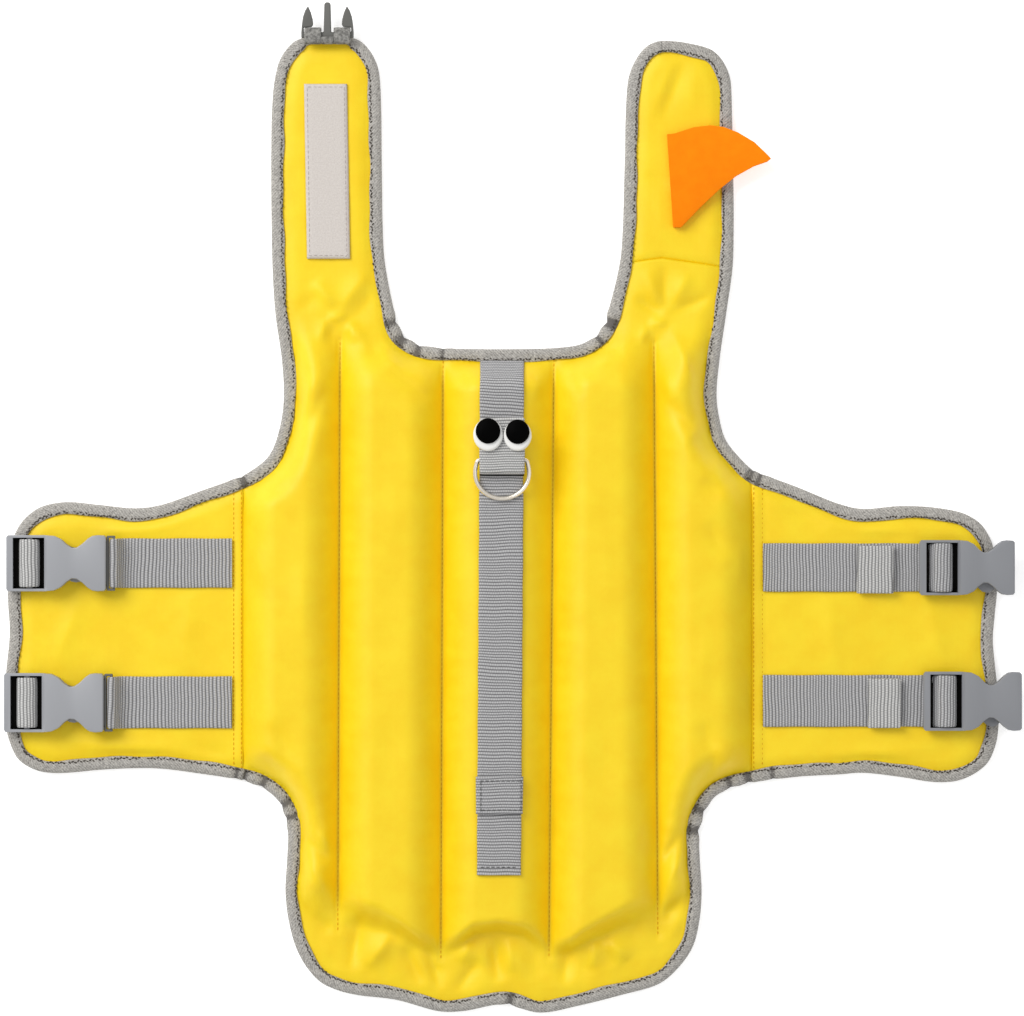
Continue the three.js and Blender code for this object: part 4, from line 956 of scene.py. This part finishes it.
def along_line(points, pitch):
    """Marks at an even pitch along a line of points, and the directions there, from 0.4 mm before to
    after."""
    points = np.array(points, float)
    length = lengths_along(points[:, :2])
    at = np.arange(pitch / 2, length[-1], pitch)
    back, marks, ahead = (places_along(points, length, at + step) for step in (-0.4, 0, 0.4))
    direction = (ahead - back)[:, :2]
    return marks, direction / np.maximum(np.linalg.norm(direction, axis=1, keepdims=True), 1e-9)


def turned_by(directions, angles):
    """Directions in the plane, each turned by its own angle."""
    return directions * np.cos(angles)[:, None] + across_left(directions) * np.sin(angles)[:, None]


def make_tape_stitches():
    """Dark zigzag of the binding: short threads near its inner edge, leaning to either side, some out of
    sight. One row on the top, one below."""
    r = np.random.default_rng(12)
    closed = np.concatenate([EDGE, EDGE[:1]])
    marks, directions = along_line(np.insert(closed, 2, 4.9, axis=1), 1.5)
    count = len(marks)
    even = np.arange(count) % 2 == 0
    lean = np.where(even, 0.55, -0.45) + r.normal(0, 0.25, count)
    reach = 5.3 + np.where(even, 0.22, -0.22) + r.normal(0, 0.16, count)
    reach *= tape_reach(marks[:, 0], marks[:, 1])
    marks[:, :2] += across_left(directions) * reach[:, None]
    marks[:, 2] += r.normal(0, 0.05, count)
    seen = r.random(count) > 0.1
    leaning = turned_by(directions, lean)
    finish = (TAPE_THREAD, "binding_tape")
    stitches("tape_stitches", marks[seen], leaning[seen], (1.45, 0.75, 0.5), *finish)
    marks[:, 2] = 0.16
    below = seen & even
    stitches("tape_stitches_below", marks[below], directions[below], (1.8, 0.6, 0.3), *finish)


def make_cloth_stitches():
    """Yellow thread in the channel seams and beside the wing seams, above and below."""
    rows = []
    for seam in SEAMS:
        y = np.arange(seam["low_y"], seam["top_y"] - 1, 1.0)
        x = seam_x(seam, y)
        rows += [(x, y, body_height(x, y) + 0.2), (x, y, low_height(x, y) - 0.1)]
    for x0, low, high in WING_STITCHES:
        y = np.arange(low, high, 1.0)
        x = np.full_like(y, x0)
        rows += [(x, y, wing_height(x, y) + 0.2), (x, y, np.full_like(y, 0.12))]
    lines = [np.stack(row, 1) for row in rows]
    stitch_rows("cloth_stitches", lines, 2.4, (1.5, 0.5, 0.4), CLOTH_THREAD, "shell_cloth")


# Half of a webbing's section across, from the middle: share of the half width, share of the half thickness
WEB_SECTION = table("share high", [
    (0, 1), (0.2, 1), (0.4, 1), (0.6, 1), (0.8, 0.98), (0.94, 0.86), (0.985, 0.55), (1, 0),
])


def ribbon(name, centre, side, half, thick, material, pitch, rib, seed):
    """Woven webbing: a rounded section carried along a line, with ribs across it at the pitch, leaning
    and drifting by slow sines. A rib's height is the rib size times the power 0.6 of a half sine; the
    attribute keeps its count for the colour."""
    centre = np.array(centre, float)
    length = lengths_along(centre)
    steps = max(8, int(length[-1] / (pitch / 5)))
    at = np.linspace(0, length[-1], steps + 1)
    line = places_along(centre, length, at)
    ahead = np.gradient(line, axis=0)
    ahead /= np.linalg.norm(ahead, axis=1, keepdims=True)
    up = np.cross(ahead, side)
    up *= np.sign(up[len(up) // 2, 2] or 1)
    out = np.array([row["share"] for row in WEB_SECTION])
    high = np.array([row["high"] for row in WEB_SECTION])
    spread = np.concatenate([-out[:0:-1], out])
    crown = np.concatenate([high[:0:-1], high])
    share = np.concatenate([spread, spread[-2:0:-1]])
    height = np.concatenate([crown, -crown[-2:0:-1]])
    at = at[:, None]
    lean = 0.34 * np.sin(at / 21 + seed) + 0.2 * np.sin(at / 7.1 + 2 * seed)
    drift = 0.3 * np.sin(at / 5.3 + seed) + 0.2 * np.sin(at / 2.3 + 3 * seed)
    edge_wave = 1 + 0.008 * np.sin(at / 4.3 + seed) + 0.004 * np.sin(at * 2 * np.pi / pitch)
    phase = at + lean * share + drift + 0.1 * np.sin(share * 5 + seed)
    bead = np.abs(np.sin(phase * np.pi / pitch)) ** 0.6
    level = (thick / 2 - rib + rib * bead) * height
    aside = np.array(side, float) * (share * half * edge_wave)[..., None]
    points = line[:, None] + aside + up[:, None] * level[..., None]
    made = new_object(name, points.reshape(-1, 3), ring_faces(len(at), len(share)), material)
    weave = np.broadcast_arrays(phase / pitch, share * half, 0 * at)
    mark_points(made, "weave", "FLOAT_VECTOR", "vector", np.stack(weave, -1))
    return recalculate(made)


def webbing_sheet(made, nodes=()):
    """Puts a webbing piece on the jacket in place of its nodes."""
    join_up(made, "jacket", "webbing", *nodes)


def band(name, line, side, half, thick, material, pitch, rib, seed, rests_on, nodes=(), held="laid"):
    """A ribbon put on the jacket in place of its nodes."""
    made = ribbon(name, line, side, half, thick, material, pitch, rib, seed)
    webbing_sheet(made, nodes)


def merged(runs):
    """One object of several: the meshes of the others are added to the first."""
    work = bmesh.new()
    for run in runs:
        work.from_mesh(run.data)
    work.to_mesh(runs[0].data)
    work.free()
    for run in runs[1:]:
        bpy.data.objects.remove(run)
    return runs[0]


def spine_middle(y):
    """Middle of the spine webbing: 53 hundredths of the way across the centre channel."""
    return seam_x(SEAMS[1], y) * 0.467 + seam_x(SEAMS[2], y) * 0.533


def make_spine():
    """Spine webbing over the centre channel, and its end patch."""
    y = np.arange(-183.0, 73.6, 1.0)
    x = spine_middle(y)
    z = body_height(x, y, False) + GAP + WEB / 2 + 0.35 * smoothstep(56, 66, y)
    line = np.stack([x, y, z], 1)
    band("spine_band", line, ACROSS, 10.95, WEB, WEBBING, 1.5, 0.3, 3, ["body_panel"], ["spine_webbing"])
    y = np.arange(-152.4, -133.7, 0.5)
    x = spine_middle(y)
    line = np.stack([x, y, body_height(x, y, False) + 2 * GAP + WEB * 1.5], 1)
    band("spine_patch", line, ACROSS, 11.7, WEB, WEBBING, 1.5, 0.3, 4, ["spine_webbing"], ["spine_end_patch"])


def ring_loop_line():
    """The ring's loop: its end tucked between the layers, over the bar and back under the eyes."""
    low = CROWN + GAP + WEB + GAP + 0.6
    top = low + 4.2
    turn = np.radians(np.linspace(-90, 90, 15))
    bar = 2.1
    bend = np.stack([19.1 - bar * np.cos(turn), (low + top) / 2 - bar * np.sin(turn)], 1)
    tuck = 0.95
    end = np.stack([43.1 + tuck * np.cos(turn), top - tuck + tuck * np.sin(turn)], 1)
    tucked = [(29.0, top - 2 * tuck), (36.0, top - 2 * tuck)]
    upper = [(36.0, top), (26.0, top)]
    under = [(26.0, low), (36.0, low), (44.0, low)]
    return np.insert(np.concatenate([tucked, end, upper, bend, under]), 0, RING_X, axis=1)


def make_ring():
    """The loop round the bar, a near-black strip under its fold as painted shade, and the D-ring: round wire
    carried along a bow of half an ellipse, two arms and a straight bar, its bar a little higher than its bow."""
    rests_on = ["spine_webbing"]
    line = ring_loop_line()
    # The loop takes the lighter webbing copy: painted light.
    sizes = (11.2, 1.25, LIT_WEBBING, 1.3, 0.24)
    band("ring_loop_band", line, ACROSS, *sizes, 7, rests_on, ["ring_loop"], "folded")
    level = CROWN + GAP + WEB + 0.13
    line = [(RING_X, 27.2, level), (RING_X, 15.7, level)]
    # Near-black strip under the loop's fold: painted shade.
    band("ring_loop_painted_shade", line, ACROSS, 11.0, 0.2, PAINTED_SHADE_WEBBING, 1.5, 0.05, 9, rests_on)
    half, arm, depth, corner, shoulder = 13.5, 12.65, 19.2, 1.5, 6.5
    wire, tilt, middle_y, middle_z = 1.1, 0.078, 23.6, 23.3
    bow = np.radians(np.linspace(180, 360, 61))
    bend = np.radians(np.linspace(0, 90, 8))
    curve = np.stack([half * np.cos(bow), -shoulder + (depth - shoulder) * np.sin(bow)], 1)
    rounded = np.stack([arm - corner + corner * np.cos(bend), -corner + corner * np.sin(bend)], 1)
    right = np.concatenate([[(half - 0.07, -5.2), (half - 0.22, -4.0), (half - 0.5, -2.7)], rounded])
    loop = np.concatenate([curve, right, right[::-1] * (-1, 1)])
    around = np.arange(14) * 2 * math.pi / 14
    inward = across_left(loop_directions(loop))
    flat = loop[:, None] + inward[:, None] * (wire * np.cos(around))[:, None]
    x, y = np.moveaxis(flat, -1, 0)
    z = wire * np.sin(around)
    lain = y * math.cos(tilt) - z * math.sin(tilt)
    raised = y * math.sin(tilt) + z * math.cos(tilt)
    points = np.stack([x + RING_X, lain + middle_y, raised + middle_z], -1).reshape(-1, 3)
    faces = ring_faces(len(loop), len(around), closed=True)
    ring = recalculate(new_object("leash_ring", points, faces, NICKEL))
    join_up(ring, "ring", "ring_metal", "d_ring")


def turned(name, profile, centre, tall, material, slot, node, sides=40):
    """A turned piece: its profile of radius and height spun round the upright axis, stretched along Y."""
    radius, level = np.array(profile)[:, :, None].swapaxes(0, 1)
    turn = np.arange(sides) * 2 * math.pi / sides
    rings = [radius * np.cos(turn), radius * tall * np.sin(turn), level + 0 * turn]
    points = np.stack(rings, -1).reshape(-1, 3)[sides - 1 : 1 - sides] + centre
    walls = np.array(ring_faces(len(profile) - 2, sides)[:-2]) + 1
    j = np.arange(sides)
    k = (j + 1) % sides
    base = len(points) - 1 - sides
    low = np.stack([0 * j, 1 + k, 1 + j], 1)
    high = np.stack([base + j, base + k, 0 * j + len(points) - 1], 1)
    faces = low.tolist() + walls.tolist() + high.tolist()
    join_up(recalculate(new_object(name, points, faces, material)), "jacket", slot, node)


# Profiles of the eyes: radius and height
WHITE = [(0, 0), (6.5, 0), (6.9, 0.35), (7.05, 0.9), (6.95, 1.4), (6.6, 1.9), (6.2, 2.2), (5.8, 2.3)]
WHITE += [(0, 2.3)]
PUPIL = [(0, 0), (5.5, 0), (5.75, 0.2), (5.8, 0.5), (5.55, 0.95), (4.9, 1.5), (3.9, 2.0), (2.6, 2.4)]
PUPIL += [(1.3, 2.6), (0, 2.65)]


def make_eyes():
    """Two moulded eyes over the loop, each a white dome with a black pupil set towards the neck."""
    top = CROWN + GAP + WEB + GAP + 5.4
    for side, x, y, white, pupil in (("left", -11.9, 36.1, 1.05, 1.06), ("right", 2.8, 35.7, 0.99, 1.02)):
        profile = [(r * white, h) for r, h in WHITE]
        turned(f"{side}_eye", profile, (x, y, top + GAP), 1.1, EYE_WHITE, "eye_white", f"eye_{side}")
        profile = [(r * pupil, h) for r, h in PUPIL]
        spot = (x, y + 1.9, top + GAP * 2 + 2.3)
        turned(f"{side}_pupil", profile, spot, 1.03, EYE_BLACK, "eye_black", f"pupil_{side}")


def profile_line(points, row):
    """A strap's side view, from lengths and heights at its buckle to the pattern."""
    return [(row["x"] + (u * row["long"] if u > 0 else u), row["y"], BUCKLE_LOW + z) for u, z in points]


def rounded_line(points):
    """A line with its corners cut off three times, each cut a quarter of its sides."""
    line = np.array(points, float)
    for _ in range(3):
        a = line[:-1] * 0.75 + line[1:] * 0.25
        b = line[:-1] * 0.25 + line[1:] * 0.75
        line = np.concatenate([line[:1], np.stack([a, b], 1).reshape(-1, line.shape[1]), line[-1:]])
    return line


# Side views of webbing, length and height: the neck tab, the turn round a slotted end, the turn round a bar
TAB_SIDE = [(232.6, 5.7), (238.0, 5.7), (239.3, 6.6), (239.4, 8.6)]
TAB_SIDE += [(238.4, 9.9), (235.0, 10.2), (232.6, 9.4), (231.9, 8.2)]
HUMP = [(-12.6, -1.6), (-12.4, 3.2), (-11.4, 5.6), (-8.0, 6.5), (-4.6, 5.6), (-3.7, 3.2), (-3.5, -1.6)]
NEAR_BAR = [(32.8, 2.2), (32.8, 5.2), (33.6, 6.5), (35.0, 6.6)]
NEAR_BAR += [(36.2, 5.0), (37.6, 1.0), (40.5, -1.0), (46.0, -1.05)]
# The neck tab beside and below the guide's foot
TAB_PARTS = table("x half top", [
    (-99.5, 4.2, 240.0),
    (TAB_X, 3.1, 234.6),
    (-84.9, 4.2, 240.0),
])


def make_straps():
    """Webbing on the wings: the straps, the turns over the slotted ends and the folded ends."""
    for n, row in enumerate(STRAP_SETS):
        half = 12.3 * row["wide"]
        name = row["name"]
        reach = row["sewn"] - row["x"]
        wing = [f"{name.split('_')[0]}_wing"]
        if name.startswith("left"):
            points = rounded_line(profile_line([*NEAR_BAR, (reach / row["long"], -1.05)], row))
            sizes = (half, WEB, WEBBING, 1.75, 0.34)
            turn = rounded_line(profile_line(HUMP, row))
            # The turn takes the lighter webbing copy: painted light.
            turn_sizes = (half * 0.97, WEB, LIT_WEBBING, 1.5, 0.26)
            socket = [f"socket_{name}"]
            band(f"{name}_band", points, ALONG, *sizes, 10 + n, wing, [f"strap_{name}"])
            band(f"{name}_turn", turn, ALONG, *turn_sizes, 20 + n, socket, [f"roll_{name}"], "folded")
        else:
            line = [(reach, -1.05), (-60.0, -1.05), (-30.0, -1.05), (-15.0, -1.05), *HUMP[1:]]
            points = rounded_line(profile_line(line, row))
            sizes = (half, WEB, WEBBING, 1.55, 0.3)
            band(f"{name}_band", points, ALONG, *sizes, 10 + n, wing, [f"strap_{name}"])
    for n, row in enumerate(KEEPERS):
        start, end = row["start"], row["end"]
        lower = [(start, 0), (end - 2.2, 0.5), (end - 0.4, 1.6)]
        upper = [(end - 1.4, 2.5), (start + 4, 1.3), (start + 0.6, 0.9)]
        points = rounded_line([(x, row["y"], BUCKLE_LOW + 0.75 + z) for x, z in lower + upper])
        # The keepers take the lighter webbing copy: painted light.
        sizes = (row["half"], 1.1, LIT_WEBBING, 1.6, 0.28)
        strap = ["strap_right_upper"]
        band(f"{row['name']}_band", points, ALONG, *sizes, 30 + n, strap, [row["name"]], "folded")


def moulded(node, name, material, slot, width=0.35):
    """A moulded piece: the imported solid's copy, merged, its sharp edges rounded and shaded smooth."""
    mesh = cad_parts[node].data.copy()
    mesh.name = name
    work = bmesh.new()
    work.from_mesh(mesh)
    bmesh.ops.remove_doubles(work, verts=work.verts, dist=2e-6)
    bmesh.ops.dissolve_limit(work, angle_limit=math.radians(1.0), verts=work.verts, edges=work.edges)
    work.to_mesh(mesh)
    work.free()
    mesh.materials.clear()
    mesh.materials.append(material)
    made = bpy.data.objects.new(name, mesh)
    bpy.context.scene.collection.objects.link(made)
    bevel = made.modifiers.new("edge_round", "BEVEL")
    bevel.width = width / 1000
    bevel.segments = 3
    bevel.limit_method = "ANGLE"
    bevel.angle_limit = math.radians(35)
    bevel.harden_normals = True
    mesh.shade_smooth()
    join_up(made, "jacket", slot, node)


def make_buckles():
    """Sockets and prongs of the side buckles, the webbing that passes below their slots painted near black
    as shade, and the neck buckle's prong half."""
    for n, row in enumerate(STRAP_SETS):
        name = row["name"]
        line = profile_line([(-17.4, 0.5), (0.8, 0.5)], row)
        half = 12.9 * row["wide"]
        # The strap's pass below the slots, painted near black as shade.
        under = ribbon(f"{name}_under", line, ALONG, half, 0.9, PAINTED_SHADE_WEBBING, 1.7, 0.2, 40 + n)
        webbing_sheet(under)
        left = name.startswith("left")
        # Left sockets take the lighter grey, painted light; right ones the darker copy, painted shade.
        moulded(f"socket_{name}", f"{name}_socket", PLASTIC if left else SHADED_SIDE_PLASTIC, "buckle_plastic")
        if left:
            moulded(f"prongs_{name}", f"{name}_prongs", DARK_PLASTIC, "buckle_plastic")
    moulded("neck_prongs", "neck_buckle_prongs", DARK_PLASTIC, "buckle_plastic", 0.5)
    lines = [rounded_line([(row["x"], min(y, row["top"]), z) for y, z in TAB_SIDE]) for row in TAB_PARTS]
    runs = [
        ribbon(f"neck_tab_{n}", line, ACROSS, row["half"], 1.2, TAB_WEBBING, 1.4, 0.1, 50 + n)
        for n, (row, line) in enumerate(zip(TAB_PARTS, lines))
    ]
    webbing_sheet(merged(runs), nodes=["neck_tab"])


def make_fin():
    """The fin: foam sheet cut to its edge, its rims barely rounded."""
    moulded("fin", "orange_fin", FIN_FOAM, "fin_foam", 0.5)


def make_loop_patch():
    """Loop tape: a thin plate with a rounded rim and an uneven pile of two noises, stitched all round."""
    corners = np.array([(-104.0, 211.8), (-102.5, 124.4), (-81.0, 124.4), (-82.5, 211.8)])
    low = STRAP_TOP + GAP
    u = np.linspace(0, 1, 24)[:, None]
    v = np.linspace(0, 1, 88)[:, None]
    left = corners[0] + v * (corners[1] - corners[0])
    right = corners[3] + v * (corners[2] - corners[3])
    x, y = np.moveaxis(left[:, None] * (1 - u) + right[:, None] * u, -1, 0)
    rim = np.minimum(np.minimum(u, 1 - u).T * 22, np.minimum(v, 1 - v) * 87)
    pile = 0.05 * noise2(x, y, 3.1, 41) + 0.04 * noise2(x, y, 1.9, 42)
    top = low + 0.7 + 0.9 * np.clip(rim / 1.2, 0, 1) ** 0.6 + pile * np.clip(rim, 0, 1)
    top -= 0.2 * bell(rim - 1.6, 0.5)
    keep = np.ones((len(v) - 1, len(u) - 1), bool)
    patch = recalculate(slab("loop_tape_patch", x, y, top, np.full_like(top, low), keep, LOOP_PILE))
    join_up(patch, "jacket", "loop_tape", "loop_patch")
    middle = corners.mean(0)
    inner = np.insert(middle + (corners - middle) * (0.86, 0.963), 2, low + 1.42, axis=1)
    rows = [np.concatenate([inner, inner[:1]])]
    stitch_rows("loop_stitches", rows, 2.6, (1.9, 0.45, 0.35), LOOP_THREAD, "loop_tape")


def make_webbing_stitches():
    """Grey thread: the box on the spine patch and a row at each end of the spine webbing."""
    top = CROWN + 2 * GAP + 2 * WEB + 0.1
    box = [(-15.5, -150.5, top), (4.5, -150.5, top), (4.5, -136.0, top), (-15.5, -136.0, top)]
    lower = top - WEB - GAP
    rows = [*zip(box, box[1:] + box[:1])]
    rows += [((-16.0, -179.0, lower), (3.0, -179.0, lower)), ((-15.0, 71.0, 8.0), (4.5, 71.0, 8.0))]
    stitch_rows("webbing_stitches", rows, 2.6, (1.8, 0.5, 0.4), WEB_THREAD, "webbing")


def make_stage():
    """Pale table, camera straight above with a long lens, broad light from the upper left and a soft
    fill."""
    mesh = bpy.data.meshes.new("table")
    mesh.from_pydata([(-6, -6, 0), (6, -6, 0), (6, 6, 0), (-6, 6, 0)], [], [(0, 1, 2, 3)])
    mesh.materials.append(FLOOR)
    floor = bpy.data.objects.new("table", mesh)
    bpy.context.scene.collection.objects.link(floor)
    camera = bpy.data.objects.new("camera", bpy.data.cameras.new("camera"))
    height = 3.0
    camera.data.sensor_width = 36
    camera.data.lens = 18 / (0.256 / (height - 0.006))
    camera.data.clip_end = 50
    camera.location = (SHIFT[0] / 1000, SHIFT[1] / 1000 - 0.00025, height)
    bpy.context.scene.collection.objects.link(camera)
    bpy.context.scene.camera = camera
    lamps = table("name place size power", [
        ("key", (-1.65, 1.35, 1.98), 1.7, 58),
        ("fill", (1.3, -0.9, 2.4), 2.4, 10),
    ])
    for row in lamps:
        lamp = bpy.data.lights.new(row["name"], "AREA")
        lamp.energy = row["power"]
        lamp.size = row["size"]
        lamp.color = (1.0, 0.985, 0.96)
        lit = bpy.data.objects.new(row["name"], lamp)
        lit.location = row["place"]
        away = np.array(row["place"])
        turn = math.atan2(math.hypot(away[0], away[1]), away[2])
        lit.rotation_euler = (turn, 0, math.atan2(away[1], away[0]) + math.pi / 2)
        bpy.context.scene.collection.objects.link(lit)
    world = bpy.data.worlds.new("studio")
    world.use_nodes = True
    set_node(world.node_tree, world.node_tree.nodes["Background"], Color=(1, 1, 1, 1), Strength=0.54)
    bpy.context.scene.world = world
    bpy.context.scene.view_settings.view_transform = "Standard"
    bpy.context.scene.view_settings.look = "None"


make_stage()
make_panels()
make_bindings()
make_tape_stitches()
make_cloth_stitches()
make_spine()
make_ring()
make_eyes()
make_straps()
make_buckles()
make_fin()
make_loop_patch()
make_webbing_stitches()
